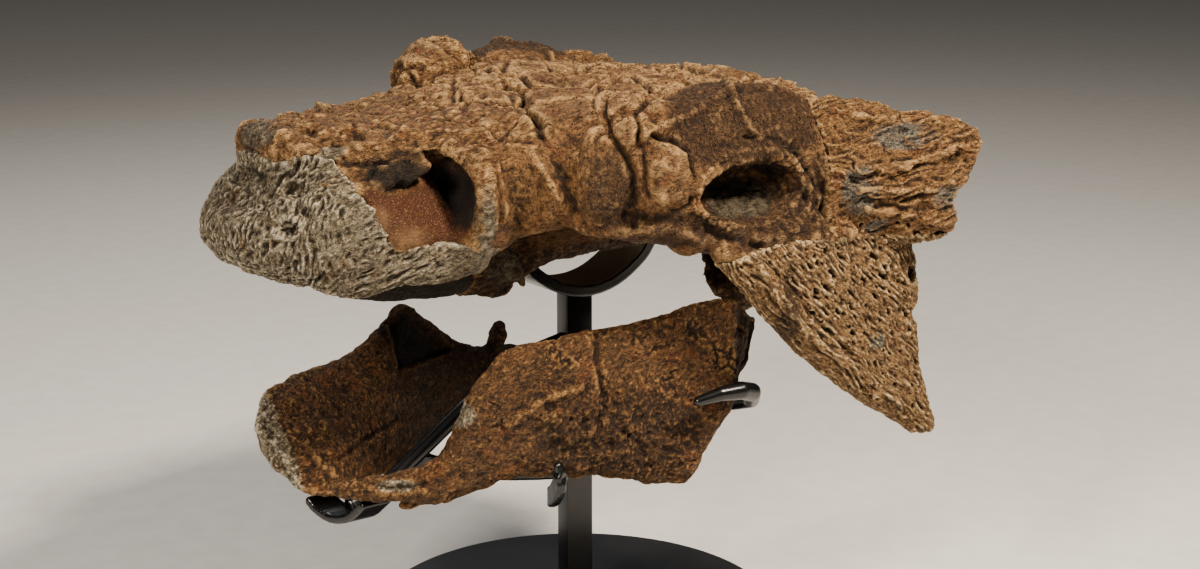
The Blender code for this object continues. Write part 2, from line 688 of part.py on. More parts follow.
def hook(name: str, route: tuple, width: float, narrowing: int, gap: float = 0.0) -> bpy.types.Object:
    """Build a flat bar that leaves the post and bends up round a jaw, with a narrow tip."""
    points = [Vector(p) for p in smooth_rows(route, HOOK_STEPS)]
    rings = []
    for i, point in enumerate(points):
        run = (points[min(i + 1, len(points) - 1)] - points[max(i - 1, 0)]).normalized()
        wide = Vector((0, 0, 1)) - run * run.z
        wide.normalize()
        thick = run.cross(wide) * (HOOK_THICKNESS / 2 + gap)
        wide *= width / 2 * min(1.0, (len(points) - i) / narrowing) + gap
        upper = [point + wide + thick, point + wide - thick]
        lower = [point - wide - thick, point - wide + thick]
        rings.append(upper + lower)
    return loft(name, rings)


def build_stand() -> dict:
    """Build the base, the post and the bars that carry skull and jaws."""
    shape = bmesh.new()
    bmesh.ops.create_cone(
        shape,
        cap_ends=True,
        segments=BASE_SIDES,
        radius1=BASE_RADIUS,
        radius2=BASE_RADIUS,
        depth=BASE_HEIGHT,
    )
    bmesh.ops.translate(shape, verts=shape.verts, vec=(0, 0, BASE_HEIGHT / 2))
    base = make_object("stand_base", shape)
    edge = base.modifiers.new("edge", "BEVEL")
    edge.width = BASE_BEVEL
    edge.segments = 2
    arm = tube("stand_front_arm", FRONT_ARM_ROUTE, ARM_RADIUS)
    parts = {"stand_base": base, "stand_skull_cradle": cradle("stand_skull_cradle")}
    parts["stand_front_rest"] = fuse("stand_front_rest", [rest_strap("stand_front_rest"), arm])
    for name, sizes in HOOKS.items():
        parts[name] = hook(name, *sizes)
    for name, thing in parts.items():
        if name != "stand_base":
            cut(thing, post("saw", SEAM))
    parts["stand_post"] = post("stand_post")
    return parts


def post(name: str, gap: float = 0.0) -> bpy.types.Object:
    """Build the square post, or a slightly bigger cutter of its shape."""
    half = POST_SIDE / 2 + gap
    turn = Matrix.Rotation(POST_TURN, 2)
    square = [turn @ Vector(c) for c in ((-half, -half), (half, -half), (half, half), (-half, half))]
    return prism(name, square, BASE_HEIGHT + SEAM, POST_TOP + gap, "Z")


def main() -> None:
    """Build every piece and give it its finish."""
    clear_scene()
    bone = finish("brown_fossil_bone", "#8a6240", 0.75)
    beak_bone = finish("grey_fossil_bone", "#8d8068", 0.75)
    steel = finish("black_painted_steel", "#0d0d0e", 0.35)
    parts = {**build_skull(), **build_jaws(), **build_stand()}
    for name, thing in parts.items():
        thing.name = name
        thing.data.materials.clear()
        if name.startswith("stand_"):
            thing.data.materials.append(steel)
        elif name == "beak":
            thing.data.materials.append(beak_bone)
        else:
            thing.data.materials.append(bone)


main()
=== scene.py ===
"""Looks of an ankylosaurid dinosaur skull on its display stand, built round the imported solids.

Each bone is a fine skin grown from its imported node. Its relief is worked in real millimetres:
armour plates, ridges, furrows, fibres and pits. The snout looks along -X with its left side
towards -Y and +Z up, in metres.
"""

from __future__ import annotations

import json
import logging
import math
from abc import ABC, abstractmethod
from dataclasses import dataclass, field
from enum import Enum

import bmesh
import bpy
import numpy as np
from mathutils import Matrix, Vector

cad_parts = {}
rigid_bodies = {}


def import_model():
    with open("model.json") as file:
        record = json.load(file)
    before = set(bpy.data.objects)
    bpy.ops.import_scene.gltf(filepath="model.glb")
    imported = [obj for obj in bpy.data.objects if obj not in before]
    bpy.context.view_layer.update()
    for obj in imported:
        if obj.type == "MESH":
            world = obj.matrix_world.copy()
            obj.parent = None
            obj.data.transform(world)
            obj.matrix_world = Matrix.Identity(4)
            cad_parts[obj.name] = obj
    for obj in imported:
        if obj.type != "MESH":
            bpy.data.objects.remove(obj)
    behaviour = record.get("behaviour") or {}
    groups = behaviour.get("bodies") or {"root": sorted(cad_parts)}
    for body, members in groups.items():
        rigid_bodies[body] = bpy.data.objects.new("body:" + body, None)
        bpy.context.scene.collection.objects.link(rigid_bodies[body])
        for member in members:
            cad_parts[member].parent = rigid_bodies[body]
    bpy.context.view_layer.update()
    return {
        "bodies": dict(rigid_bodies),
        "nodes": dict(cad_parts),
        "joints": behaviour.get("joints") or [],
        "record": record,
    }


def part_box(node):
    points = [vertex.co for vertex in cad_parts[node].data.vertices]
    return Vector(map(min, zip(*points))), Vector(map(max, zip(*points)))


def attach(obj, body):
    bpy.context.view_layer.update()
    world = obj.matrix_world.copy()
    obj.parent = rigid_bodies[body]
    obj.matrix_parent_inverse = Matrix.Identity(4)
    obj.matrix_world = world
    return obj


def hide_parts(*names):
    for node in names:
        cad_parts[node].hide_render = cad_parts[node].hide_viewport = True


LOG = logging.getLogger("skull")
MM = 0.001

Point = tuple[float, float, float]
Level = float | bpy.types.NodeSocket
Colour = tuple[float, float, float, float] | bpy.types.NodeSocket
Places = bpy.types.NodeSocket


class Tint(Enum):
    """Masks that a bone's skin carries for its finish; the hollow, crest and dark masks and some brown and
    gold zones place painted shade and painted highlights.
    """

    HOLLOW = "hollow"
    CREST = "crest"
    GREY = "grey"
    WARM = "warm"
    BLUE = "blue"
    DARK = "dark"
    GOLD_AND_PAINTED_LIGHT = "gold"
    STEEP = "steep"
    BROWN = "brown"


def linear(hex_colour: str) -> tuple[float, float, float, float]:
    """Turn an sRGB hex colour into linear light.

    Args:
        hex_colour: Colour such as "#8a6240".

    Returns:
        Linear red, green, blue and alpha.
    """
    parts = [int(hex_colour[i:i + 2], 16) / 255 for i in (1, 3, 5)]
    red, green, blue = (c / 12.92 if c <= 0.04045 else ((c + 0.055) / 1.055) ** 2.4 for c in parts)
    return red, green, blue, 1.0


def smoothstep(low: float, high: float, value: np.ndarray) -> np.ndarray:
    """Rise smoothly from 0 at one limit to 1 at the other.

    Args:
        low: Value that gives 0.
        high: Value that gives 1.
        value: Values to shape.

    Returns:
        Shares from 0 to 1.
    """
    t = np.clip((value - low) / (high - low), 0.0, 1.0)
    return t * t * (3.0 - 2.0 * t)


def lattice_draw(cells: np.ndarray, seed: int, count: int) -> np.ndarray:
    """Give each lattice cell a fixed random number.

    Args:
        cells: Whole-numbered cell places, one row of three per point.
        seed: Number that picks the draw.
        count: How many different numbers there are.

    Returns:
        Whole numbers from 0 up to count.
    """
    whole = cells.astype(np.int64).astype(np.uint32)
    mixed = whole[:, 0] * np.uint32(73856093)
    mixed ^= whole[:, 1] * np.uint32(19349663)
    mixed ^= whole[:, 2] * np.uint32(83492791)
    mixed ^= np.uint32((seed * 2654435761) % 2**32)
    mixed ^= mixed >> np.uint32(15)
    mixed *= np.uint32(2246822519)
    mixed ^= mixed >> np.uint32(13)
    mixed *= np.uint32(3266489917)
    mixed ^= mixed >> np.uint32(16)
    return mixed % np.uint32(count)


TABLE_SIZE = 4096
SLOPES = np.random.default_rng(5).normal(size=(TABLE_SIZE, 3))
SLOPES /= np.linalg.norm(SLOPES, axis=1)[:, None]
SPOTS = np.random.default_rng(6).uniform(0.0, 1.0, size=(TABLE_SIZE, 4))


def waves(points: np.ndarray, length: float, seed: int, octaves: int = 1, gain: float = 0.5) -> np.ndarray:
    """Smooth random waves through space.

    Args:
        points: Places, one row of three each.
        length: Wavelength in metres.
        seed: Number that picks the draw.
        octaves: How many times finer waves are added.
        gain: Height of each finer wave against the last.

    Returns:
        Values of about -1 to 1.
    """
    total = np.zeros(len(points))
    height = 1.0
    reach = 0.0
    for octave in range(octaves):
        scaled = points / (length * 0.5 ** octave)
        corner = np.floor(scaled)
        part = scaled - corner
        ease = part * part * part * (part * (part * 6.0 - 15.0) + 10.0)
        value = np.zeros(len(points))
        for i in (0, 1):
            for j in (0, 1):
                for k in (0, 1):
                    step = np.array((i, j, k), dtype=float)
                    slope = SLOPES[lattice_draw(corner + step, seed + 17 * octave, TABLE_SIZE)]
                    share = np.prod(np.where(step > 0, ease, 1.0 - ease), axis=1)
                    value += share * np.einsum("ij,ij->i", slope, part - step)
        total += height * value * 1.6
        reach += height
        height *= gain
    return total / reach


def cells(
    points: np.ndarray, size: float, seed: int, jitter: float = 0.9
) -> tuple[np.ndarray, np.ndarray, np.ndarray]:
    """Measure how far points lie from scattered cell middles.

    Args:
        points: Places, one row of three each.
        size: Mean spacing of the middles in metres.
        seed: Number that picks the draw.
        jitter: How far the middles stray from an even grid, from 0 to 1.

    Returns:
        Distance to the nearest and to the second middle, in cells, and a draw from 0 to 1 per cell.
    """
    scaled = points / size
    corner = np.floor(scaled)
    first = np.full(len(points), 9.0)
    second = np.full(len(points), 9.0)
    draw = np.zeros(len(points))
    for i in (-1, 0, 1):
        for j in (-1, 0, 1):
            for k in (-1, 0, 1):
                cell = corner + np.array((i, j, k), dtype=float)
                spot = SPOTS[lattice_draw(cell, seed, TABLE_SIZE)]
                middle = cell + 0.5 + (spot[:, :3] - 0.5) * jitter
                reach = np.linalg.norm(scaled - middle, axis=1)
                nearer = reach < first
                second = np.where(nearer, first, np.minimum(second, reach))
                draw = np.where(nearer, spot[:, 3], draw)
                first = np.where(nearer, reach, first)
    return first, second, draw


def mirrored(points: np.ndarray) -> np.ndarray:
    """Fold points over the middle plane onto the left side.

    Args:
        points: Places, one row of three each.

    Returns:
        Places with Y below 0.
    """
    folded = points.copy()
    folded[:, 1] = -np.abs(folded[:, 1])
    return folded


def path_distance(points: np.ndarray, path: tuple[Point, ...]) -> np.ndarray:
    """Measure how far points lie from a line.

    Args:
        points: Places, one row of three each.
        path: Points of the line.

    Returns:
        Distances in metres.
    """
    corners = np.array(path)
    best = np.full(len(points), 9.0)
    for start, end in zip(corners, corners[1:]):
        run = end - start
        t = np.clip((points - start) @ run / (run @ run), 0.0, 1.0)
        best = np.minimum(best, np.linalg.norm(points - start - t[:, None] * run, axis=1))
    return best


@dataclass(frozen=True)
class Zone:
    """A soft-edged ellipsoid that says where a form or tint applies.

    Attributes:
        centre: Middle of the zone, on the left side if it is in a pair.
        radii: Half sizes along X, Y and Z.
        soft: Share of the radius over which it fades.
        paired: Whether the right side has its mirror image.
    """

    centre: Point
    radii: Point
    soft: float = 0.5
    paired: bool = True

    def share(self, points: np.ndarray) -> np.ndarray:
        """Say how much each point belongs to the zone.

        Args:
            points: Places, one row of three each.

        Returns:
            Shares from 0 to 1.
        """
        places = mirrored(points) if self.paired else points
        reach = np.linalg.norm((places - np.array(self.centre)) / np.array(self.radii), axis=1)
        return 1.0 - smoothstep(1.0 - self.soft, 1.0, reach)


@dataclass(frozen=True)
class Slab:
    """A soft-edged layer between two levels along one direction.

    Attributes:
        axis: Direction that the layer is measured along.
        low: Level where it begins.
        high: Level where it is full; below low, so that it counts downwards, if it is smaller.
        paired: Whether the right side has its mirror image.
    """

    axis: Point
    low: float
    high: float
    paired: bool = False

    def share(self, points: np.ndarray) -> np.ndarray:
        """Say how much each point belongs to the layer."""
        places = mirrored(points) if self.paired else points
        return smoothstep(self.low, self.high, places @ np.array(self.axis))


@dataclass(frozen=True)
class Along:
    """A soft-edged band along a line.

    Attributes:
        path: Points of the line, on the left side.
        width: Half width in millimetres.
    """

    path: tuple[Point, ...]
    width: float

    def share(self, points: np.ndarray) -> np.ndarray:
        """Say how much each point belongs to the band."""
        reach = path_distance(mirrored(points), self.path) / MM
        return 1.0 - smoothstep(0.6 * self.width, 1.4 * self.width, reach)


@dataclass(frozen=True)
class Both:
    """The overlap of several zones.

    Attributes:
        zones: The zones that have to hold together.
    """

    zones: tuple

    def share(self, points: np.ndarray) -> np.ndarray:
        """Say how much each point belongs to every zone.

        Args:
            points: Places, one row of three each.

        Returns:
            Shares from 0 to 1.
        """
        total = np.ones(len(points))
        for zone in self.zones:
            total *= zone.share(points)
        return total


@dataclass(frozen=True)
class Rest:
    """Everything outside a zone.

    Attributes:
        zone: The zone that is left out.
    """

    zone: object

    def share(self, points: np.ndarray) -> np.ndarray:
        """Say how much each point lies outside the zone."""
        return 1.0 - self.zone.share(points)


class Everywhere:
    """The whole of a bone."""

    def share(self, points: np.ndarray) -> np.ndarray:
        """Take in each point in full."""
        return np.ones(len(points))


@dataclass(frozen=True, kw_only=True)
class Form(ABC):
    """One feature of a bone's relief.

    Attributes:
        height: Height in millimetres, below 0 for a hollow.
        where: Zone that it is kept to.
        seed: Number that picks its random draw.
    """

    height: float
    where: object = field(default_factory=Everywhere)
    seed: int = 1

    def lift(self, points: np.ndarray, normals: np.ndarray) -> np.ndarray:
        """Work out how far each point moves outwards.

        Args:
            points: Places, one row of three each.
            normals: Outward directions.

        Returns:
            Distances in metres.
        """
        share = self.where.share(points)
        out = np.zeros(len(points))
        inside = share > 0.004
        if inside.any():
            shape = self.shape(points[inside], normals[inside])
            out[inside] = share[inside] * shape * self.height * MM
        return out

    @abstractmethod
    def shape(self, points: np.ndarray, normals: np.ndarray) -> np.ndarray:
        """Give the feature's own shape."""


@dataclass(frozen=True, kw_only=True)
class Swell(Form):
    """A rounded boss, or a dish if its height is below 0.

    Attributes:
        centre: Middle, on the left side if it is in a pair.
        radii: Half sizes along X, Y and Z.
        flat: Share of the radius where its top is flat.
        paired: Whether the right side has its mirror image.
    """

    centre: Point
    radii: Point
    flat: float = 0.0
    paired: bool = True

    def shape(self, points: np.ndarray, normals: np.ndarray) -> np.ndarray:
        """See Form.shape."""
        places = mirrored(points) if self.paired else points
        reach = np.linalg.norm((places - np.array(self.centre)) / np.array(self.radii), axis=1)
        return 1.0 - smoothstep(self.flat, 1.0, reach)


@dataclass(frozen=True, kw_only=True)
class Stroke(Form):
    """A ridge along a line, or a furrow if its height is below 0.

    Attributes:
        path: Points of the line, on the left side if it is in a pair.
        width: Half width in millimetres.
        wander: How far it strays from its line, in millimetres.
        paired: Whether the right side has its mirror image.
    """

    path: tuple[Point, ...]
    width: float
    wander: float = 1.5
    paired: bool = True

    def shape(self, points: np.ndarray, normals: np.ndarray) -> np.ndarray:
        """See Form.shape."""
        places = mirrored(points) if self.paired else points
        corners = np.array(self.path)
        reach = np.full(len(places), 9.0)
        margin = 4.0 * (self.width + self.wander) * MM
        near = ((places > corners.min(0) - margin) & (places < corners.max(0) + margin)).all(axis=1)
        chosen = places[near]
        if not len(chosen):
            return np.zeros(len(places))
        stray = np.stack([waves(points[near], 0.014, self.seed + i, 2) for i in range(3)], axis=1)
        reach[near] = path_distance(chosen + stray * self.wander * MM, self.path)
        fade = np.ones(len(places))
        fade[near] = 0.8 + 0.35 * waves(points[near], 0.02, self.seed + 9)
        return fade * np.exp(-((reach / (self.width * MM)) ** 2))


@dataclass(frozen=True, kw_only=True)
class Rough(Form):
    """Random roughness.

    Attributes:
        length: Wavelength in millimetres.
        octaves: How many times finer waves are added.
        gain: Height of each finer wave against the last.
        ridged: Whether it is gathered into winding ridges.
    """

    length: float
    octaves: int = 3
    gain: float = 0.5
    ridged: bool = False

    def shape(self, points: np.ndarray, normals: np.ndarray) -> np.ndarray:
        """See Form.shape."""
        value = waves(points, self.length * MM, self.seed, self.octaves, self.gain)
        if self.ridged:
            return 1.0 - 3.2 * np.abs(value)
        return value


@dataclass(frozen=True, kw_only=True)
class Fibres(Form):
    """Fine ridges that run one way, as in woven bone.

    Attributes:
        along: Direction that the ridges run in, on the left side.
        spacing: Distance from ridge to ridge in millimetres.
        stretch: Length of a ridge against its spacing.
        bend: How far the ridges wave, in millimetres.
    """

    along: Point
    spacing: float
    stretch: float = 6.0
    bend: float = 3.0

    def shape(self, points: np.ndarray, normals: np.ndarray) -> np.ndarray:
        """See Form.shape."""
        places = mirrored(points)
        along = np.array(self.along) / np.linalg.norm(self.along)
        strayed = places + self.bend * MM * np.stack(
            [waves(places, 0.03, self.seed + 3 + i) for i in range(3)], axis=1)
        run = strayed @ along
        squeezed = strayed - run[:, None] * along * (1.0 - 1.0 / self.stretch)
        value = waves(squeezed, self.spacing * MM, self.seed, 2, 0.6)
        return 1.0 - 3.0 * np.abs(value)


@dataclass(frozen=True, kw_only=True)
class Pits(Form):
    """Scattered round or drawn-out pits; its height is below 0.

    Attributes:
        spacing: Mean distance between pits in millimetres.
        radius: Radius of a pit against the spacing.
        share: How many of the places hold a pit, from 0 to 1.
        along: Direction that the pits are drawn out in, on the left side.
        stretch: Length of a pit against its width.
    """

    spacing: float
    radius: float = 0.42
    share: float = 0.7
    along: Point = (0.0, 0.0, 1.0)
    stretch: float = 1.0

    def shape(self, points: np.ndarray, normals: np.ndarray) -> np.ndarray:
        """See Form.shape."""
        places = mirrored(points) + 0.9 * MM * np.stack(
            [waves(points, 0.006, self.seed + 3 + i) for i in range(3)], axis=1)
        along = np.array(self.along) / np.linalg.norm(self.along)
        run = places @ along
        squeezed = places - run[:, None] * along * (1.0 - 1.0 / self.stretch)
        first, _, draw = cells(squeezed, self.spacing * MM, self.seed)
        size = self.radius * (0.55 + 0.75 * draw / max(self.share, 0.01))
        bowl = 1.0 - smoothstep(0.25, 1.0, first / size)
        return np.where(draw < self.share, bowl, 0.0)


@dataclass(frozen=True, kw_only=True)
class Cracks(Form):
    """A broken net of narrow cracks; its height is below 0.

    Attributes:
        spacing: Mean distance from crack to crack in millimetres.
        width: Half width of a crack in millimetres.
        share: How much of the net is there, from 0 to 1.
    """

    spacing: float
    width: float = 1.0
    share: float = 0.6

    def shape(self, points: np.ndarray, normals: np.ndarray) -> np.ndarray:
        """See Form.shape."""
        bent = points + 0.28 * self.spacing * MM * np.stack(
            [waves(points, 0.55 * self.spacing * MM, self.seed + i, 3) for i in range(3)], axis=1)
        first, second, _ = cells(bent, self.spacing * MM, self.seed, 0.95)
        reach = (second - first) * self.spacing / 2
        there = waves(points, 1.6 * self.spacing * MM, self.seed + 7, 2)
        limit = 0.55 - 1.1 * self.share
        return np.exp(-((reach / self.width) ** 2)) * smoothstep(limit, limit + 0.25, there)


@dataclass(frozen=True, kw_only=True)
class Plates(Form):
    """Domed armour plates with furrows between them.

    Attributes:
        spacing: Mean width of a plate in millimetres.
        furrow: Width of the furrows in cells.
        lowest: How far the furrows lie below the mean, from 0 to 1.
    """

    spacing: float
    furrow: float = 0.2
    lowest: float = 0.6

    def shape(self, points: np.ndarray, normals: np.ndarray) -> np.ndarray:
        """See Form.shape."""
        flat = points + 3.0 * MM * np.stack([waves(points, 0.02, self.seed + i, 2) for i in range(3)], axis=1)
        flat[:, 2] *= 0.4
        first, second, draw = cells(flat, self.spacing * MM, self.seed, 0.8)
        dome = smoothstep(0.0, self.furrow, second - first)
        return dome * (0.8 + 0.5 * draw) - self.lowest


class Skin:
    """A bone's surface while it is worked."""

    def __init__(self, mesh: bpy.types.Mesh) -> None:
        """Take over a mesh."""
        self.mesh = mesh
        self.read()

    def read(self) -> None:
        """Read points, edges and normals from the mesh."""
        count = len(self.mesh.vertices)
        self.points = np.empty(count * 3)
        self.mesh.vertices.foreach_get("co", self.points)
        self.points = self.points.reshape(-1, 3)
        edges = np.empty(len(self.mesh.edges) * 2, dtype=np.int32)
        self.mesh.edges.foreach_get("vertices", edges)
        self.edges = edges.reshape(-1, 2)
        self.links = np.bincount(self.edges.ravel(), minlength=count).astype(float)
        self.read_normals()

    def read_normals(self) -> None:
        """Read the outward directions again."""
        normals = np.empty(len(self.points) * 3)
        self.mesh.vertices.foreach_get("normal", normals)
        self.normals = normals.reshape(-1, 3)

    def write(self) -> None:
        """Write the points to the mesh."""
        self.mesh.vertices.foreach_set("co", self.points.ravel())
        self.mesh.update()
        self.read_normals()

    def mean(self, values: np.ndarray) -> np.ndarray:
        """Average values over each point's neighbours.

        Args:
            values: One row or number per point.

        Returns:
            Averages in the same shape.
        """
        table = values.reshape(len(self.points), -1)
        out = np.empty_like(table)
        first, second = self.edges[:, 0], self.edges[:, 1]
        for i in range(table.shape[1]):
            out[:, i] = np.bincount(first, weights=table[second, i], minlength=len(table))
            out[:, i] += np.bincount(second, weights=table[first, i], minlength=len(table))
        return (out / self.links[:, None]).reshape(values.shape)

    def soften(self, rounds: int) -> None:
        """Even out facets while keeping the volume.

        Args:
            rounds: Number of passes.
        """
        for _ in range(rounds):
            self.points += 0.55 * (self.mean(self.points) - self.points)
            self.points -= 0.57 * (self.mean(self.points) - self.points)
        self.write()

    def calm(self, zone: object, rounds: int) -> None:
        """Even out a zone strongly.

        Args:
            zone: Where.
            rounds: Number of passes.
        """
        share = zone.share(self.points)[:, None]
        even = self.points.copy()
        for _ in range(rounds):
            even += 0.6 * share * (self.mean(even) - even)
        self.points = even
        self.write()

    def work(self, forms: tuple[Form, ...]) -> None:
        """Raise and sink forms along smoothed outward directions.

        Args:
            forms: Features, added together.
        """
        steady = self.mean(self.mean(self.normals))
        steady /= np.linalg.norm(steady, axis=1)[:, None]
        lift = np.zeros(len(self.points))
        for form in forms:
            lift += form.lift(self.points, steady)
        self.points += steady * lift[:, None]
        self.write()

    def hollowness(self, rounds: int) -> np.ndarray:
        """Measure how far points lie below their wider surroundings.

        Args:
            rounds: How wide the surroundings are.

        Returns:
            Depths in millimetres, below 0 on crests.
        """
        wide = self.points
        for _ in range(rounds):
            wide = self.mean(wide)
        return np.einsum("ij,ij->i", wide - self.points, self.normals) / MM

    def store(self, tint: Tint, values: np.ndarray) -> None:
        """Keep a mask on the mesh for the finish."""
        layer = self.mesh.attributes.new(tint.value, "FLOAT", "POINT")
        layer.data.foreach_set("value", np.clip(values, 0.0, 1.0).astype(np.float32))


def bake(thing: bpy.types.Object) -> bpy.types.Mesh:
    """Apply an object's modifiers, so that it carries the finished mesh and no modifier.

    Args:
        thing: Object with modifiers.

    Returns:
        The finished mesh.
    """
    graph = bpy.context.evaluated_depsgraph_get()
    mesh = bpy.data.meshes.new_from_object(thing.evaluated_get(graph))
    thing.modifiers.clear()
    thing.data = mesh
    return mesh


def mesh_of(shape: bmesh.types.BMesh, name: str) -> bpy.types.Mesh:
    """Turn a shape into a mesh and free the shape.

    Args:
        shape: The shape.
        name: Name of the mesh.

    Returns:
        The mesh.
    """
    mesh = bpy.data.meshes.new(name)
    shape.to_mesh(mesh)
    shape.free()
    return mesh


def coat(mesh: bpy.types.Mesh, material: bpy.types.Material) -> None:
    """Give a mesh one finish and smooth shading.

    Args:
        mesh: The mesh.
        material: Its finish.
    """
    mesh.materials.clear()
    mesh.materials.append(material)
    mesh.polygons.foreach_set("use_smooth", np.ones(len(mesh.polygons), dtype=bool))


def merged_node_mesh(frame: dict, node: str) -> bpy.types.Mesh:
    """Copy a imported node's mesh with its loose triangles joined.

    Args:
        frame: The loaded frame.
        node: Name of the node.

    Returns:
        A closed mesh.
    """
    shape = bmesh.new()
    shape.from_mesh(frame["nodes"][node].data)
    bmesh.ops.remove_doubles(shape, verts=shape.verts, dist=0.00001)
    return mesh_of(shape, node + "_skin")


def add_object(name: str, mesh: bpy.types.Mesh) -> bpy.types.Object:
    """Put a mesh in the scene.

    Args:
        name: Name of the new object.
        mesh: Its mesh.

    Returns:
        The new object, at the origin.
    """
    thing = bpy.data.objects.new(name, mesh)
    bpy.context.scene.collection.objects.link(thing)
    return thing


@dataclass
class Lump:
    """A small mass that is melted into a bone before its relief is worked.

    Attributes:
        start: Middle of its root.
        end: Middle of its tip.
        root: Radius at the root in millimetres.
        tip: Radius at the tip in millimetres.
    """

    start: Point
    end: Point
    root: float
    tip: float

    def add_to(self, shape: bmesh.types.BMesh) -> None:
        """Add the mass to a mesh as a closed round-ended body.

        Args:
            shape: Mesh that takes it.
        """
        start, end = Vector(self.start), Vector(self.end)
        run = end - start
        made = bmesh.ops.create_icosphere(shape, subdivisions=3, radius=1.0)["verts"]
        turn = run.to_track_quat("Z", "Y").to_matrix()
        for vert in made:
            share = 0.5 + 0.5 * vert.co.z
            radius = (self.root * (1.0 - share) + self.tip * share) * MM
            half = run.length / 2
            local = Vector((vert.co.x * radius, vert.co.y * radius, vert.co.z * (half + radius * 0.8)))
            vert.co = turn @ local + (start + end) / 2


@dataclass
class Bone:
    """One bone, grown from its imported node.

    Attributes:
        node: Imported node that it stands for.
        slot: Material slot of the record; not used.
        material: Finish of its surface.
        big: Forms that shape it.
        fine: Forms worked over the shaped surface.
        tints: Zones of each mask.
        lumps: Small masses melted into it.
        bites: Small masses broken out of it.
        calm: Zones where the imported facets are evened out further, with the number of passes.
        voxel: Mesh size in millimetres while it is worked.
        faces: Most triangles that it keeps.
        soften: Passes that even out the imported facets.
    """

    node: str
    slot: str
    material: bpy.types.Material
    big: tuple[Form, ...] = ()
    fine: tuple[Form, ...] = ()
    tints: dict[Tint, tuple] = field(default_factory=dict)
    lumps: tuple[Lump, ...] = ()
    bites: tuple[Lump, ...] = ()
    calm: tuple = ()
    voxel: float = 1.6
    faces: int = 190_000
    soften: int = 7

    def build(self, frame: dict) -> bpy.types.Object:
        """Grow the skin, work its relief and bring it down to its number of triangles.

        Args:
            frame: The loaded frame.

        Returns:
            The finished object.
        """
        thing = add_object(self.node + "_bone", merged_node_mesh(frame, self.node))
        self.bite(thing)
        shape = bmesh.new()
        shape.from_mesh(thing.data)
        for lump in self.lumps:
            lump.add_to(shape)
        shape.to_mesh(thing.data)
        shape.free()
        remesh = thing.modifiers.new("grow", "REMESH")
        remesh.mode = "VOXEL"
        remesh.voxel_size = self.voxel * MM * 1.0
        dense = bake(thing)
        skin = Skin(dense)
        skin.soften(self.soften)
        for zone, rounds in self.calm:
            skin.calm(zone, rounds)
        skin.work(self.big)
        skin.soften(1)
        skin.work(self.fine)
        present = sum(len(p.vertices) - 2 for p in dense.polygons)
        if present > self.faces:
            fewer = thing.modifiers.new("fewer", "DECIMATE")
            fewer.ratio = self.faces / present
            skin = Skin(bake(thing))
        self.dress(skin)
        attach(thing, "root")
        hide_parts(self.node)
        LOG.info("%s: %d points", self.node, len(skin.points))
        return thing

    def bite(self, thing: bpy.types.Object) -> None:
        """Break the bites out of the bone's body.

        Args:
            thing: The bone's object.
        """
        for bite in self.bites:
            shape = bmesh.new()
            bite.add_to(shape)
            cutter = add_object("bite", mesh_of(shape, "bite"))
            step = thing.modifiers.new("bite", "BOOLEAN")
            step.operation = "DIFFERENCE"
            step.solver = "EXACT"
            step.object = cutter
            bake(thing)
            bpy.data.objects.remove(cutter, do_unlink=True)

    def dress(self, skin: Skin) -> None:
        """Give the bone its masks and finish.

        Args:
            skin: The bone's finished surface.
        """
        # The hollow mask sets painted shade in hollows and the crest mask sets painted highlights on crests.
        close = skin.hollowness(2)
        wide = skin.hollowness(10)
        low, high = np.percentile(close, (56, 91))
        lower, higher = np.percentile(wide, (64, 95))
        skin.store(Tint.HOLLOW, smoothstep(low, high, close) * 0.7 + smoothstep(lower, higher, wide) * 0.6)
        low, high = np.percentile(-close, (68, 98))
        lower, higher = np.percentile(-wide, (75, 98))
        skin.store(Tint.CREST, smoothstep(low, high, -close) * 0.75 + smoothstep(lower, higher, -wide) * 0.4)
        speckle = waves(skin.points, 0.02, 71, 4, 0.65)
        for tint in (Tint.GREY, Tint.WARM, Tint.BLUE, Tint.DARK, Tint.GOLD_AND_PAINTED_LIGHT, Tint.STEEP, Tint.BROWN):
            total = np.zeros(len(skin.points))
            for zone in self.tints.get(tint, ()):
                total = np.maximum(total, zone.share(skin.points))
            ragged = smoothstep(0.25, 0.75, total + 0.45 * speckle * (total > 0.0) * (total < 1.0))
            skin.store(tint, ragged)
        coat(skin.mesh, self.material)
        skin.mesh.update()


# Landmarks of the upper skull, on its left side apart from the furrows that cross its roof

NOSTRIL_RIM = (
    (-0.165, -0.086, 0.427),
    (-0.158, -0.094, 0.422),
    (-0.153, -0.112, 0.407),
    (-0.150, -0.116, 0.386),
    (-0.153, -0.114, 0.368),
    (-0.158, -0.108, 0.354),
)
NOSTRIL_OUTER_RIDGE = (
    (-0.180, -0.068, 0.436),
    (-0.156, -0.089, 0.429),
    (-0.142, -0.108, 0.413),
    (-0.136, -0.113, 0.392),
    (-0.136, -0.106, 0.368),
)
LACHRYMAL_RIDGE = (
    (-0.117, -0.113, 0.422),
    (-0.108, -0.121, 0.403),
    (-0.097, -0.127, 0.381),
    (-0.084, -0.130, 0.358),
)
LACHRYMAL_VALLEY = ((-0.130, -0.110, 0.410), (-0.128, -0.113, 0.388), (-0.122, -0.106, 0.364))
SWELLING_FURROW = ((-0.102, -0.122, 0.420), (-0.096, -0.128, 0.396), (-0.089, -0.132, 0.368))
CHEEK_CRACK = (
    (-0.070, -0.141, 0.437),
    (-0.064, -0.148, 0.422),
    (-0.058, -0.153, 0.408),
    (-0.055, -0.151, 0.387),
    (-0.054, -0.149, 0.368),
)
STRIP_CRACK = ((-0.055, -0.155, 0.434), (-0.052, -0.160, 0.412), (-0.050, -0.160, 0.388))
BOSS_FURROW = (
    (-0.047, -0.158, 0.432),
    (-0.034, -0.165, 0.430),
    (-0.021, -0.168, 0.420),
    (-0.018, -0.172, 0.401),
    (-0.023, -0.172, 0.383),
    (-0.038, -0.166, 0.375),
)
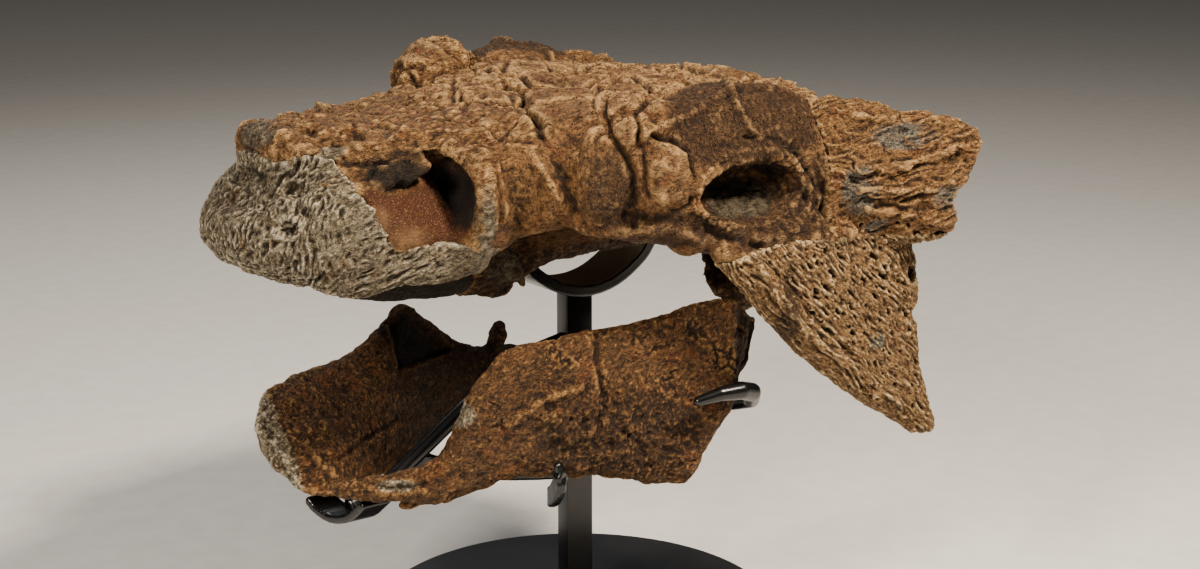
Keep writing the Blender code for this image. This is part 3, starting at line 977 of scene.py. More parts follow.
CHEEK_LEDGE = (
    (-0.070, -0.140, 0.362),
    (-0.050, -0.152, 0.367),
    (-0.033, -0.162, 0.367),
    (-0.020, -0.169, 0.361),
    (-0.008, -0.173, 0.354),
    (0.006, -0.178, 0.345),
)
UNDER_ORBIT_FURROW = (
    (-0.018, -0.173, 0.375),
    (-0.006, -0.176, 0.364),
    (0.012, -0.181, 0.3555),
    (0.030, -0.187, 0.349),
)
UNDER_ORBIT_RIDGE = (
    (-0.016, -0.174, 0.376),
    (0.000, -0.179, 0.3645),
    (0.020, -0.186, 0.357),
    (0.042, -0.191, 0.355),
    (0.060, -0.191, 0.359),
    (0.074, -0.188, 0.368),
)
ORBIT_RIM = (
    (-0.018, -0.172, 0.388),
    (-0.013, -0.176, 0.403),
    (0.002, -0.178, 0.414),
    (0.023, -0.181, 0.4195),
    (0.046, -0.184, 0.417),
    (0.067, -0.184, 0.405),
    (0.078, -0.184, 0.386),
)
ORBIT_OUTER_FURROW = (
    (-0.006, -0.176, 0.419),
    (0.016, -0.179, 0.428),
    (0.036, -0.181, 0.4275),
    (0.053, -0.183, 0.422),
    (0.072, -0.184, 0.407),
    (0.085, -0.187, 0.382),
)
BROW_RIDGE = (
    (0.034, -0.140, 0.461),
    (0.028, -0.156, 0.456),
    (0.023, -0.170, 0.446),
    (0.025, -0.177, 0.435),
    (0.034, -0.181, 0.427),
)
ROOF_FURROWS = (
    ((-0.071, 0.060, 0.450), (-0.104, 0.008, 0.448), (-0.128, -0.032, 0.446)),
    (
        (0.002, 0.093, 0.452),
        (-0.051, 0.020, 0.453),
        (-0.078, -0.023, 0.450),
        (-0.098, -0.073, 0.446),
        (-0.100, -0.103, 0.436),
    ),
    ((0.017, 0.005, 0.453), (-0.029, -0.077, 0.452)),
)
SNOUT_FURROW = ((-0.261, -0.043, 0.4217), (-0.237, -0.061, 0.4192), (-0.208, -0.0744, 0.4181))
SNOUT_LEDGE = (
    (-0.262, -0.038, 0.429),
    (-0.2324, -0.0575, 0.4275),
    (-0.207, -0.066, 0.4275),
    (-0.187, -0.0586, 0.4353),
)
SNOUT_CREST = (
    (-0.195, -0.034, 0.4395),
    (-0.187, -0.0586, 0.4353),
    (-0.1655, -0.0683, 0.4328),
    (-0.146, -0.0812, 0.4343),
)
BROW_EDGE = (
    (-0.050, -0.156, 0.434),
    (-0.030, -0.160, 0.441),
    (-0.008, -0.160, 0.449),
    (0.026, -0.154, 0.459),
)
BROW_CREST = ((0.030, -0.150, 0.460), (0.060, -0.152, 0.456), (0.092, -0.158, 0.449), (0.104, -0.165, 0.446))
DISH_FRONT = ((-0.268, -0.028, 0.427), (-0.264, -0.026, 0.440))
SNOUT_SLOT = ((-0.209, -0.032, 0.441), (-0.213, -0.047, 0.438))
EYE_MIDDLE = (0.028, -0.184, 0.388)

# Masses melted into both sides, with Y counted outwards from the middle plane and radii in millimetres

NOSTRIL_FLOOR = (
    (-0.224, 0.083, 0.387),
    (-0.210, 0.089, 0.370),
    (-0.169, 0.060, 0.396),
    (-0.160, 0.081, 0.361),
)
NOSTRIL_FLOOR_ALONG = 6
NOSTRIL_FLOOR_DOWN = 5
NOSTRIL_FLOOR_RADIUS = 13.0
ORBIT_FLOOR_X = (-0.006, 0.007, 0.020, 0.033, 0.046, 0.059, 0.072)
ORBIT_FLOOR_Y = 0.150
ORBIT_FLOOR_Z = 0.3635
ORBIT_FLOOR_RADIUS = 23.0
BALL_RUN = 0.001
NOSTRIL_LUMPS = (
    (-0.222, 0.084, 0.405, 7.0),
    (-0.214, 0.082, 0.409, 8.0),
    (-0.204, 0.079, 0.412, 8.0),
    (-0.195, 0.082, 0.409, 6.0),
    (-0.186, 0.080, 0.415, 7.0),
)
CHEEK_NODULES = (
    (0.030, 0.184, 0.345, 6.5),
    (0.046, 0.186, 0.349, 7.0),
    (0.060, 0.188, 0.345, 7.0),
    (0.078, 0.190, 0.349, 8.0),
    (0.094, 0.192, 0.346, 7.5),
    (0.110, 0.194, 0.350, 8.0),
)

SNOUT_ROOF = Both((Slab((0, 0, 1), 0.405, 0.425), Slab((1, 0, 0), -0.085, -0.140)))
BROW = Zone((0.036, -0.158, 0.436), (0.086, 0.050, 0.050), 0.35)
CHEEK = Zone((-0.090, -0.130, 0.395), (0.075, 0.050, 0.050), 0.4)
ROOF = Both((Slab((0, 0, 1), 0.422, 0.434), Slab((1, 0, 0), -0.175, -0.105), Rest(BROW)))
ORBIT_INSIDE = Zone(EYE_MIDDLE, (0.046, 0.040, 0.024), 0.25)
NOSTRIL_INSIDE = Both((
    Zone((-0.192, -0.080, 0.388), (0.054, 0.055, 0.037), 0.25),
    Slab((0.0, 1.0, 0.0), -0.112, -0.104, paired=True),
))
NOSTRIL_ROOF = Zone((-0.203, -0.082, 0.411), (0.034, 0.034, 0.015), 0.3)
NOSTRIL_DEPTH = Both((NOSTRIL_INSIDE, Slab((1.0, 0.0, 0.25), -0.0735, -0.069)))
EYE_DEPTH = Slab((0.0, 1.0, 0.0), -0.181, -0.176, paired=True)
ORBIT_BORDER = Both((Zone((0.032, -0.184, 0.384), (0.070, 0.040, 0.050), 0.3), Rest(ORBIT_INSIDE)))
NOSTRIL_BORDER = Zone((-0.154, -0.109, 0.380), (0.011, 0.018, 0.040), 0.5)
PIT_BAND = Zone((0.094, -0.192, 0.376), (0.026, 0.030, 0.056), 0.5)
UNDERSIDE = Slab((0, 0, 1), 0.345, 0.330)
NAPE = Slab((1, 0, 0), 0.135, 0.155)


def ball(x: float, y: float, z: float, radius: float) -> Lump:
    """Make a nearly round mass.

    Args:
        x: Place along the skull.
        y: Place across the skull.
        z: Height.
        radius: Its radius in millimetres.

    Returns:
        The mass.
    """
    return Lump((x - BALL_RUN, y, z), (x + BALL_RUN, y, z), radius, radius)


def nostril_floor(side: int) -> list[Lump]:
    """List the masses of the nostril's sloping floor, spread evenly between its four corners.

    Args:
        side: -1 for the left nostril, 1 for the right one.

    Returns:
        The masses.
    """
    listed = []
    for i in range(NOSTRIL_FLOOR_ALONG):
        for j in range(NOSTRIL_FLOOR_DOWN):
            down, along = j / (NOSTRIL_FLOOR_DOWN - 1), i / (NOSTRIL_FLOOR_ALONG - 1)
            shares = ((1 - down) * (1 - along), down * (1 - along), (1 - down) * along, down * along)
            x, y, z = (
                sum(share * corner[axis] for share, corner in zip(shares, NOSTRIL_FLOOR))
                for axis in range(3)
            )
            listed.append(ball(x, side * y, z, NOSTRIL_FLOOR_RADIUS))
    return listed


def cranium_lumps() -> tuple[Lump, ...]:
    """List the masses melted into the cranium.

    Returns:
        Two stubs under the palate, the right roof boss, the nostril's floor and ragged roof, the
        orbit's floor, and nodules along the cheek.
    """
    listed = [
        Lump((-0.098, -0.048, 0.334), (-0.088, -0.056, 0.314), 8.0, 4.0),
        Lump((-0.102, -0.022, 0.306), (-0.080, -0.022, 0.303), 8.0, 7.0),
        Lump((-0.074, 0.098, 0.436), (-0.056, 0.106, 0.440), 26.0, 25.0),
        Lump((-0.087, 0.095, 0.448), (-0.081, 0.100, 0.446), 15.0, 20.0),
    ]
    for side in (-1, 1):
        listed += nostril_floor(side)
        listed.append(Lump((-0.233, side * 0.079, 0.402), (-0.230, side * 0.078, 0.402), 7.0, 7.0))
        listed += [ball(x, side * ORBIT_FLOOR_Y, ORBIT_FLOOR_Z, ORBIT_FLOOR_RADIUS) for x in ORBIT_FLOOR_X]
        for x, y, z, reach in NOSTRIL_LUMPS + CHEEK_NODULES:
            root, tip = (x - 0.003, side * y, z - 0.001), (x + 0.003, side * (y - 0.002), z + 0.002)
            listed.append(Lump(root, tip, reach, reach))
    return tuple(listed)


def cranium_big() -> tuple[Form, ...]:
    """List the forms that shape the cranium.

    Returns:
        Bosses, ridges and furrows from snout to nape.
    """
    return (
        Plates(height=5.0, spacing=46, furrow=0.09, where=ROOF, seed=23),
        Rough(height=4.2, length=22, octaves=4, gain=0.6, where=SNOUT_ROOF, seed=31),
        Rough(height=1.8, length=24, octaves=4, seed=32),
        Swell(height=3.8, centre=(-0.078, -0.143, 0.403), radii=(0.026, 0.030, 0.046), flat=0.3),
        Swell(height=3.5, centre=(-0.058, -0.153, 0.412), radii=(0.012, 0.020, 0.034)),
        Swell(height=3.6, centre=(-0.036, -0.168, 0.404), radii=(0.022, 0.030, 0.034), flat=0.4),
        Swell(height=-5.0, centre=(-0.120, -0.112, 0.385), radii=(0.020, 0.024, 0.036)),
        Swell(height=6.0, centre=(-0.052, -0.020, 0.455), radii=(0.034, 0.028, 0.030)),
        Swell(height=-4.0, centre=(-0.100, -0.060, 0.447), radii=(0.040, 0.030, 0.030)),
        Swell(height=4.0, centre=(-0.062, -0.105, 0.450), radii=(0.026, 0.026, 0.030)),
        Swell(height=-4.0, centre=(0.060, 0.070, 0.458), radii=(0.080, 0.050, 0.030), paired=False),
        Swell(height=-12.0, centre=(0.058, -0.150, 0.403), radii=(0.022, 0.026, 0.011)),
        Swell(height=-7.0, centre=(-0.156, -0.070, 0.396), radii=(0.014, 0.028, 0.030)),
        Swell(height=-5.0, centre=(-0.276, 0.004, 0.418), radii=(0.014, 0.030, 0.014)),
        Swell(height=-5.0, centre=(0.104, -0.184, 0.392), radii=(0.016, 0.040, 0.046)),
        Stroke(height=4.5, path=NOSTRIL_RIM, width=7.5),
        Stroke(height=3.0, path=NOSTRIL_OUTER_RIDGE, width=3.0, seed=3),
        Stroke(height=4.5, path=LACHRYMAL_RIDGE, width=4.0, seed=4),
        Stroke(height=-4.0, path=LACHRYMAL_VALLEY, width=7.0, seed=5),
        Stroke(height=-5.5, path=SWELLING_FURROW, width=6.0, seed=6),
        Stroke(height=-6.5, path=CHEEK_CRACK, width=2.8, seed=7),
        Stroke(height=-3.5, path=STRIP_CRACK, width=2.2, seed=8),
        Stroke(height=-6.5, path=BOSS_FURROW, width=2.6, wander=2.4, seed=9),
        Stroke(height=4.5, path=CHEEK_LEDGE, width=5.0, seed=10),
        Stroke(height=3.2, path=UNDER_ORBIT_RIDGE, width=5.0, seed=12),
        Stroke(height=-4.5, path=UNDER_ORBIT_FURROW, width=3.0, seed=11),
        Stroke(height=2.4, path=ORBIT_RIM, width=2.8, wander=0.8, seed=13),
        Stroke(height=-3.0, path=ORBIT_OUTER_FURROW, width=2.4, seed=14),
        Stroke(height=6.0, path=BROW_RIDGE, width=2.6, wander=0.8, seed=15),
        Stroke(height=4.5, path=BROW_EDGE, width=4.0, seed=16),
        Stroke(height=3.5, path=BROW_CREST, width=5.0, wander=4.0, seed=17),
        *(
            Stroke(height=-5.0, path=path, width=2.4, wander=2.5, paired=False, seed=22)
            for path in ROOF_FURROWS
        ),
        Stroke(height=-4.5, path=SNOUT_FURROW, width=2.6, wander=1.5, seed=18),
        Stroke(height=4.0, path=SNOUT_LEDGE, width=3.6, wander=2.0, seed=24),
        Stroke(height=3.5, path=SNOUT_CREST, width=3.6, wander=3.0, seed=25),
        Swell(height=-9.0, centre=(-0.236, -0.0475, 0.4334), radii=(0.022, 0.015, 0.018)),
        Swell(height=-8.0, centre=(-0.216, -0.046, 0.436), radii=(0.011, 0.013, 0.012)),
        Swell(height=-6.0, centre=(-0.245, -0.030, 0.4375), radii=(0.010, 0.012, 0.012)),
        Swell(height=4.0, centre=(-0.262, -0.030, 0.436), radii=(0.010, 0.012, 0.010)),
        Stroke(height=3.6, path=DISH_FRONT, width=3.0, seed=19),
        Stroke(height=-6.0, path=SNOUT_SLOT, width=2.6, seed=20),
    )


def cranium_fine() -> tuple[Form, ...]:
    """List the forms worked over the shaped cranium.

    Returns:
        Cracks, fibres, pits and grain.
    """
    upper = Rest(NAPE)
    outside = Rest(NOSTRIL_INSIDE)
    roof = Both((ROOF, upper))
    return (
        Cracks(height=-3.0, spacing=30, width=1.1, share=0.25, where=roof, seed=53),
        Rough(height=1.3, length=11, octaves=5, gain=0.65, where=outside, seed=41),
        Rough(height=0.35, length=5.5, octaves=3, ridged=True, where=roof, seed=40),
        Fibres(height=0.8, along=(1.0, 0.2, 0.0), spacing=6, stretch=4, bend=6, where=SNOUT_ROOF, seed=43),
        Rough(height=2.8, length=12, octaves=5, gain=0.65, where=NOSTRIL_ROOF, seed=57),
        Rough(height=0.8, length=4.5, octaves=3, where=Both((Rest(ROOF), outside)), seed=58),
        Rough(height=1.3, length=6.5, octaves=3, gain=0.65, where=ORBIT_BORDER, seed=60),
        Cracks(height=-1.8, spacing=11, width=0.8, share=0.6, where=ORBIT_BORDER, seed=61),
        Fibres(height=0.7, along=(0.1, -0.55, -0.8), spacing=3.8, stretch=6, bend=9, where=BROW, seed=44),
        Fibres(height=0.5, along=(0.5, -0.3, -0.75), spacing=4.4, stretch=4, bend=8, where=CHEEK, seed=45),
        Pits(height=-5.5, spacing=9, radius=0.42, share=0.8, along=(-0.15, 0.0, 1.0), stretch=2.4,
             where=PIT_BAND, seed=46),
        Fibres(height=1.6, along=(-0.15, 0.0, 1.0), spacing=6, stretch=5, bend=5, where=PIT_BAND, seed=56),
        Pits(height=-1.2, spacing=7.5, radius=0.26, share=0.3, where=Both((upper, outside)), seed=47),
        Cracks(height=-1.3, spacing=8, width=0.7, share=0.8, where=Both((ORBIT_INSIDE, EYE_DEPTH)), seed=59),
        Pits(height=-3.0, spacing=17, radius=0.18, share=0.5, where=roof, seed=48),
        Fibres(height=1.0, along=(0.0, 1.0, 0.2), spacing=4.4, stretch=3, bend=2,
               where=NOSTRIL_BORDER, seed=55),
        Rough(height=2.0, length=14, octaves=4, ridged=True, where=UNDERSIDE, seed=51),
        Rough(height=1.6, length=18, octaves=4, ridged=True, where=NAPE, seed=52),
    )


class Graph:
    """A material's node tree, filled by short calls."""

    def __init__(self, name: str) -> None:
        """Start an empty node material.

        Args:
            name: Name of the material.
        """
        self.material = bpy.data.materials.new(name)
        self.material.use_nodes = True
        self.tree = self.material.node_tree
        self.tree.nodes.clear()
        self.output = self.tree.nodes.new("ShaderNodeOutputMaterial")

    def add(self, kind: str, settings: dict | None = None, inputs: dict | None = None) -> bpy.types.Node:
        """Add a node.

        Args:
            kind: Node type.
            settings: Values of its own settings.
            inputs: Values or sockets for its inputs, by name or number.

        Returns:
            The new node.
        """
        node = self.tree.nodes.new(kind)
        for key, value in (settings or {}).items():
            setattr(node, key, value)
        for key, value in (inputs or {}).items():
            if isinstance(value, bpy.types.NodeSocket):
                self.tree.links.new(value, node.inputs[key])
            else:
                node.inputs[key].default_value = value
        return node

    def math(
        self, operation: str, first: Level, second: Level = 0.0, clamp: bool = False
    ) -> bpy.types.NodeSocket:
        """Combine two numbers."""
        settings = {"operation": operation, "use_clamp": clamp}
        return self.add("ShaderNodeMath", settings, {0: first, 1: second}).outputs[0]

    def times(self, first: Level, second: Level) -> bpy.types.NodeSocket:
        """Multiply two numbers."""
        return self.math("MULTIPLY", first, second)

    def plus(self, first: Level, second: Level) -> bpy.types.NodeSocket:
        """Add two numbers."""
        return self.math("ADD", first, second)

    def mix(
        self, share: Level, first: Colour, second: Colour, blend: str = "MIX"
    ) -> bpy.types.NodeSocket:
        """Mix two colours."""
        settings = {"data_type": "RGBA", "blend_type": blend}
        return self.add("ShaderNodeMix", settings, {0: share, 6: first, 7: second}).outputs[2]

    def spread(self, value: Level, low: float, high: float) -> bpy.types.NodeSocket:
        """Stretch a span of values to run from 0 to 1."""
        inputs = {"Value": value, "From Min": low, "From Max": high}
        return self.add("ShaderNodeMapRange", {"interpolation_type": "SMOOTHSTEP"}, inputs).outputs[0]

    def noise(
        self, coordinates: Places, size_mm: float, detail: float = 3.0, bend: float = 0.0
    ) -> bpy.types.NodeSocket:
        """Add a noise of a real size.

        Args:
            coordinates: Socket of places in metres.
            size_mm: Size of its patches in millimetres.
            detail: How many finer sizes are added.
            bend: How far it is distorted.

        Returns:
            The noise value's socket.
        """
        inputs = {"Vector": coordinates, "Scale": 1.0 / (size_mm * MM), "Detail": detail, "Distortion": bend,
                  "Roughness": 0.6}
        return self.add("ShaderNodeTexNoise", {}, inputs).outputs["Fac"]

    def drawn_out(self, coordinates: Places, along: Point, stretch: float) -> bpy.types.NodeSocket:
        """Squeeze places along a direction, so that what is drawn there runs along it.

        Args:
            coordinates: Socket of places in metres.
            along: Direction of the grain.
            stretch: Length of a mark against its width.

        Returns:
            The squeezed places' socket.
        """
        way = Vector(along).normalized()
        run = self.add("ShaderNodeVectorMath", {"operation": "DOT_PRODUCT"}, {0: coordinates, 1: way})
        part = self.times(run.outputs["Value"], 1.0 / stretch - 1.0)
        shift = self.add("ShaderNodeVectorMath", {"operation": "SCALE"}, {0: way, "Scale": part}).outputs[0]
        return self.add("ShaderNodeVectorMath", {"operation": "ADD"}, {0: coordinates, 1: shift}).outputs[0]

    def blend(self, share: Level, first: Level, second: Level) -> bpy.types.NodeSocket:
        """Mix two numbers."""
        return self.add("ShaderNodeMix", {"data_type": "FLOAT"}, {0: share, 2: first, 3: second}).outputs[0]

    def mask(self, tint: Tint) -> bpy.types.NodeSocket:
        """Read one of the skin's masks."""
        return self.add("ShaderNodeAttribute", {"attribute_name": tint.value}).outputs["Fac"]

    def finish(self, shader: bpy.types.NodeSocket) -> bpy.types.Material:
        """Connect the shader to the surface."""
        self.tree.links.new(shader, self.output.inputs["Surface"])
        return self.material


class Finish(ABC):
    """A surface finish."""

    @abstractmethod
    def build(self) -> bpy.types.Material:
        """Make the material."""


@dataclass(frozen=True)
class FossilBone(Finish):
    """Mineralised bone: brown body and stains, with tan painted highlights on crests and dark painted shade
    in furrows, that follow the skin's masks.

    Attributes:
        name: Name of the material.
        body: Main colour.
        gold: Colour of its lighter patches, and painted light where the gold mask is set.
        stain: Colour of its iron stains.
        pale: Colour of the painted highlights on crests, raised grain and raised crumbs.
        deep: Colour of the painted shade in furrows, pits and hollows.
        grey: Colour of grey bone.
        grey_pale: Colour of the painted highlights on grey bone.
        grey_deep: Colour of the painted shade on grey bone.
        warm: Colour of smooth iron-stained bone.
        blue: Colour of blue-grey patches.
        brown: Colour of dark brown areas, partly painted shade.
        dark: Colour of the painted shade far inside openings and in recesses.
        along: Direction of the grain.
        steep: Direction of the grain where the steep mask is set.
        grain_mm: Width of the grain.
        relief_mm: Height of the grain.
    """

    name: str
    body: str = "#5d3d1f"
    gold: str = "#78542d"
    stain: str = "#663615"
    pale: str = "#c09764"
    deep: str = "#1c0f06"
    grey: str = "#72654f"
    grey_pale: str = "#d2c4a8"
    grey_deep: str = "#22170b"
    warm: str = "#391902"
    blue: str = "#5a5850"
    brown: str = "#37210e"
    dark: str = "#0e0805"
    along: Point = (1.0, 0.0, 0.1)
    steep: Point = (0.25, 0.0, -0.97)
    grain_mm: float = 2.4
    relief_mm: float = 3.2

    def build(self) -> bpy.types.Material:
        """See Finish.build."""
        graph = Graph(self.name)
        places = graph.add("ShaderNodeTexCoord").outputs["Object"]
        broad = graph.noise(places, 30, 4)
        patch = graph.noise(places, 10, 5, 0.6)
        level = graph.noise(graph.drawn_out(places, self.along, 2.6), self.grain_mm, 3, 0.5)
        upright = graph.noise(graph.drawn_out(places, self.steep, 2.6), self.grain_mm, 3, 0.5)
        grain = graph.blend(graph.mask(Tint.STEEP), level, upright)
        crumb = graph.noise(places, 1.1, 2, 0.3)
        smooth = graph.math("SUBTRACT", 1.0, graph.times(graph.mask(Tint.WARM), 0.75))
        ridge = graph.math("ABSOLUTE", graph.math("SUBTRACT", grain, 0.5))
        # Further down, the grain's raised lines are lightened and its low parts darkened: painted highlight
        # and painted shade on the bump's relief.
        top = graph.times(graph.spread(ridge, 0.07, 0.0), smooth)
        valley = graph.times(graph.spread(ridge, 0.07, 0.17), smooth)
        fold = graph.noise(graph.drawn_out(places, self.along, 1.8), 3.2 * self.grain_mm, 5, 0.7)
        fold = graph.math("ABSOLUTE", graph.math("SUBTRACT", fold, 0.5))
        groove = graph.times(graph.spread(fold, 0.028, 0.004), graph.spread(patch, 0.40, 0.52))
        groove = graph.times(groove, smooth)
        hollow = graph.mask(Tint.HOLLOW)
        crest = graph.mask(Tint.CREST)
        holed = {"Vector": places, "Scale": 1.0 / (3.2 * MM), "Randomness": 1.0}
        holes = graph.add("ShaderNodeTexVoronoi", {"feature": "F1"}, holed).outputs["Distance"]
        pit = graph.times(graph.spread(holes, 0.32, 0.14), graph.spread(patch, 0.50, 0.60))
        pit = graph.times(pit, smooth)

        colour = graph.mix(graph.spread(broad, 0.35, 0.66), linear(self.body), linear(self.gold))
        # Lighter gold where the gold mask is set: the horns' own colour, and painted light on the cranium's
        # lachrymal.
        colour = graph.mix(graph.times(graph.mask(Tint.GOLD_AND_PAINTED_LIGHT), 0.75), colour, linear(self.gold))
        stained = graph.times(graph.spread(graph.noise(places, 17, 4, 0.4), 0.52, 0.66), 0.7)
        colour = graph.mix(stained, colour, linear(self.stain))
        # Darker brown where the brown mask is set: partly the bone's own colour, partly painted shade.
        colour = graph.mix(graph.times(graph.mask(Tint.BROWN), 0.9), colour, linear(self.brown))
        colour = graph.mix(graph.mask(Tint.WARM), colour, linear(self.warm))
        blue_share = graph.times(graph.mask(Tint.BLUE), graph.spread(patch, 0.32, 0.50))
        colour = graph.mix(blue_share, colour, linear(self.blue))
        grey_share = graph.times(graph.mask(Tint.GREY), graph.spread(graph.noise(places, 19, 5), 0.27, 0.44))
        colour = graph.mix(grey_share, colour, linear(self.grey))
        pale = graph.mix(grey_share, linear(self.pale), linear(self.grey_pale))
        deep = graph.mix(grey_share, linear(self.deep), linear(self.grey_deep))
        # Tone mixes random patches and crumbs with a lighter colour on the grain's raised lines, which is
        # painted highlight.
        tone = graph.times(graph.spread(ridge, 0.16, 0.0), 0.4)
        tone = graph.plus(tone, graph.times(graph.spread(patch, 0.34, 0.66), 0.45))
        tone = graph.plus(tone, graph.times(graph.spread(crumb, 0.3, 0.7), 0.2))
        colour = graph.mix(smooth, colour, graph.plus(tone, 0.38), "MULTIPLY")
        # Painted highlights on the grain's raised lines and on the skin's crests, halved where the brown mask
        # is set.
        lit = graph.math("ADD", graph.times(top, 0.12), graph.times(crest, 0.85), True)
        lit = graph.times(lit, smooth)
        lit = graph.times(lit, graph.math("SUBTRACT", 1.0, graph.times(graph.mask(Tint.BROWN), 0.5)))
        colour = graph.mix(lit, colour, pale)
        # Pale specks on the grain's raised crumbs: painted highlights.
        speck = graph.plus(graph.times(graph.mask(Tint.WARM), 0.14), 0.16)
        speck = graph.times(graph.spread(crumb, 0.56, 0.70), speck)
        colour = graph.mix(speck, colour, pale)
        # Painted shade in the grain's low parts, sunken grooves, hollows, pits and low crumbs.
        shade = graph.math("MAXIMUM", graph.times(valley, 0.5), graph.times(groove, 0.85))
        shade = graph.math("MAXIMUM", shade, graph.times(hollow, 0.92))
        shade = graph.math("MAXIMUM", shade, graph.times(pit, 0.85))
        shade = graph.math("MAXIMUM", shade, graph.times(graph.spread(crumb, 0.46, 0.30), 0.2))
        colour = graph.mix(shade, colour, deep)
        # Painted shade, near black, where the dark mask is set: deep inside openings and in recesses.
        colour = graph.mix(graph.times(graph.mask(Tint.DARK), 0.88), colour, linear(self.dark))

        height = graph.times(ridge, -2.8 * self.relief_mm)
        rise = graph.times(graph.math("MINIMUM", fold, 0.07), 4.5 * self.relief_mm)
        height = graph.times(graph.plus(height, rise), smooth)
        height = graph.plus(height, graph.times(crumb, 0.3 * self.relief_mm))
        height = graph.math("SUBTRACT", height, graph.times(pit, 0.6 * self.relief_mm))
        bump = graph.add("ShaderNodeBump", {}, {"Strength": 1.0, "Distance": MM, "Height": height})
        span = {"Value": patch, "To Min": 0.5, "To Max": 0.85}
        rough = graph.add("ShaderNodeMapRange", {}, span).outputs[0]
        shader = graph.add("ShaderNodeBsdfPrincipled", {}, {
            "Base Color": colour, "Roughness": rough, "Normal": bump.outputs[0], "Specular IOR Level": 0.22})
        return graph.finish(shader.outputs[0])


@dataclass(frozen=True)
class PlainFinish(Finish):
    """A painted or moulded surface with a fine grain.

    Attributes:
        name: Name of the material.
        body: Main colour.
        other: Colour of its faint mottle.
        roughness: How dull it is.
        grain_mm: Size of its grain.
        relief_mm: Height of its grain.
        metallic: 1 for bare metal.
    """

    name: str
    body: str
    other: str
    roughness: float
    grain_mm: float = 1.2
    relief_mm: float = 0.05
    metallic: float = 0.0

    def build(self) -> bpy.types.Material:
        """See Finish.build."""
        graph = Graph(self.name)
        places = graph.add("ShaderNodeTexCoord").outputs["Object"]
        mottle = graph.noise(places, 30, 3)
        grain = graph.noise(places, self.grain_mm, 2)
        colour = graph.mix(graph.spread(mottle, 0.3, 0.7), linear(self.body), linear(self.other))
        relief = {"Strength": 0.6, "Distance": self.relief_mm * MM, "Height": grain}
        bump = graph.add("ShaderNodeBump", {}, relief)
        low, high = self.roughness * 0.85, min(1.0, self.roughness * 1.2)
        span = {"Value": mottle, "To Min": low, "To Max": high}
        rough = graph.add("ShaderNodeMapRange", {}, span).outputs[0]
        shader = graph.add("ShaderNodeBsdfPrincipled", {}, {
            "Base Color": colour, "Roughness": rough, "Metallic": self.metallic, "Normal": bump.outputs[0]})
        return graph.finish(shader.outputs[0])


@dataclass
class Studio:
    """Plain pale floor, soft studio light and the camera.

    Attributes:
        azimuth: Camera's angle round the skull from its left side, in degrees.
        elevation: Camera's angle above the floor, in degrees.
        distance: From the camera to its target, in metres.
        target: Point that the camera looks at.
        lens: Focal length in millimetres on a 36 mm sensor.
    """

    azimuth: float = -36.0
    elevation: float = 14.0
    distance: float = 1.59
    target: Point = (0.025, 0.0, 0.284)
    lens: float = 60.0

    def build(self) -> None:
        """Make floor, lights, sky and camera."""
        self.floor()
        self.sky()
        self.lamp("key", (0.38, -1.02, 1.42), 0.26, 80.0, "#fff1de")
        self.lamp("fill", (-1.6, -0.75, 1.0), 0.35, 50.0, "#fff4e6")
        self.lamp("back", (0.2, 1.5, 1.6), 1.2, 14.0, "#ffffff")
        self.camera()

    def floor(self) -> None:
        """Lay the pale floor."""
        mesh = bpy.data.meshes.new("floor")
        half = 14.0
        corners = [(-half, -half, 0), (half, -half, 0), (half, half, 0), (-half, half, 0)]
        mesh.from_pydata(corners, [], [(0, 1, 2, 3)])
        floor = add_object("floor", mesh)
        mesh.materials.append(PlainFinish("pale_floor_paint", "#d9d6d0", "#d2cfc9", 0.7, 3.0, 0.02).build())

    def sky(self) -> None:
        """Surround the scene with an even pale light."""
        world = bpy.data.worlds.new("studio")
        world.use_nodes = True
        background = world.node_tree.nodes["Background"]
        background.inputs["Color"].default_value = linear("#e6e8ea")
        background.inputs["Strength"].default_value = 0.075
        bpy.context.scene.world = world

    def lamp(self, name: str, place: Point, size: float, power: float, colour: str) -> None:
        """Set up a soft square lamp that faces the skull.

        Args:
            name: Name of the lamp.
            place: Where it stands, against the camera's target.
            size: Side in metres.
            power: Power in watts.
            colour: Colour of its light.
        """
        light = bpy.data.lights.new(name, "AREA")
        light.size = size
        light.energy = power
        light.color = linear(colour)[:3]
        lamp = bpy.data.objects.new(name, light)
        bpy.context.scene.collection.objects.link(lamp)
        lamp.location = Vector(self.target) + Vector(place)
        lamp.rotation_euler = (-Vector(place)).to_track_quat("-Z", "Y").to_euler()

    def camera(self) -> None:
        """Place the camera at the photo's viewing angle."""
        turn, rise = math.radians(self.azimuth), math.radians(self.elevation)
        back = Vector((math.sin(turn) * math.cos(rise), -math.cos(turn) * math.cos(rise), math.sin(rise)))
        data = bpy.data.cameras.new("camera")
        data.lens = self.lens
        data.sensor_width = 36.0
        camera = bpy.data.objects.new("camera", data)
        bpy.context.scene.collection.objects.link(camera)
        camera.location = Vector(self.target) + back * self.distance
        camera.rotation_euler = (-back).to_track_quat("-Z", "Y").to_euler()
        bpy.context.scene.camera = camera


# Landmarks of the beak, the horns and the lower jaw

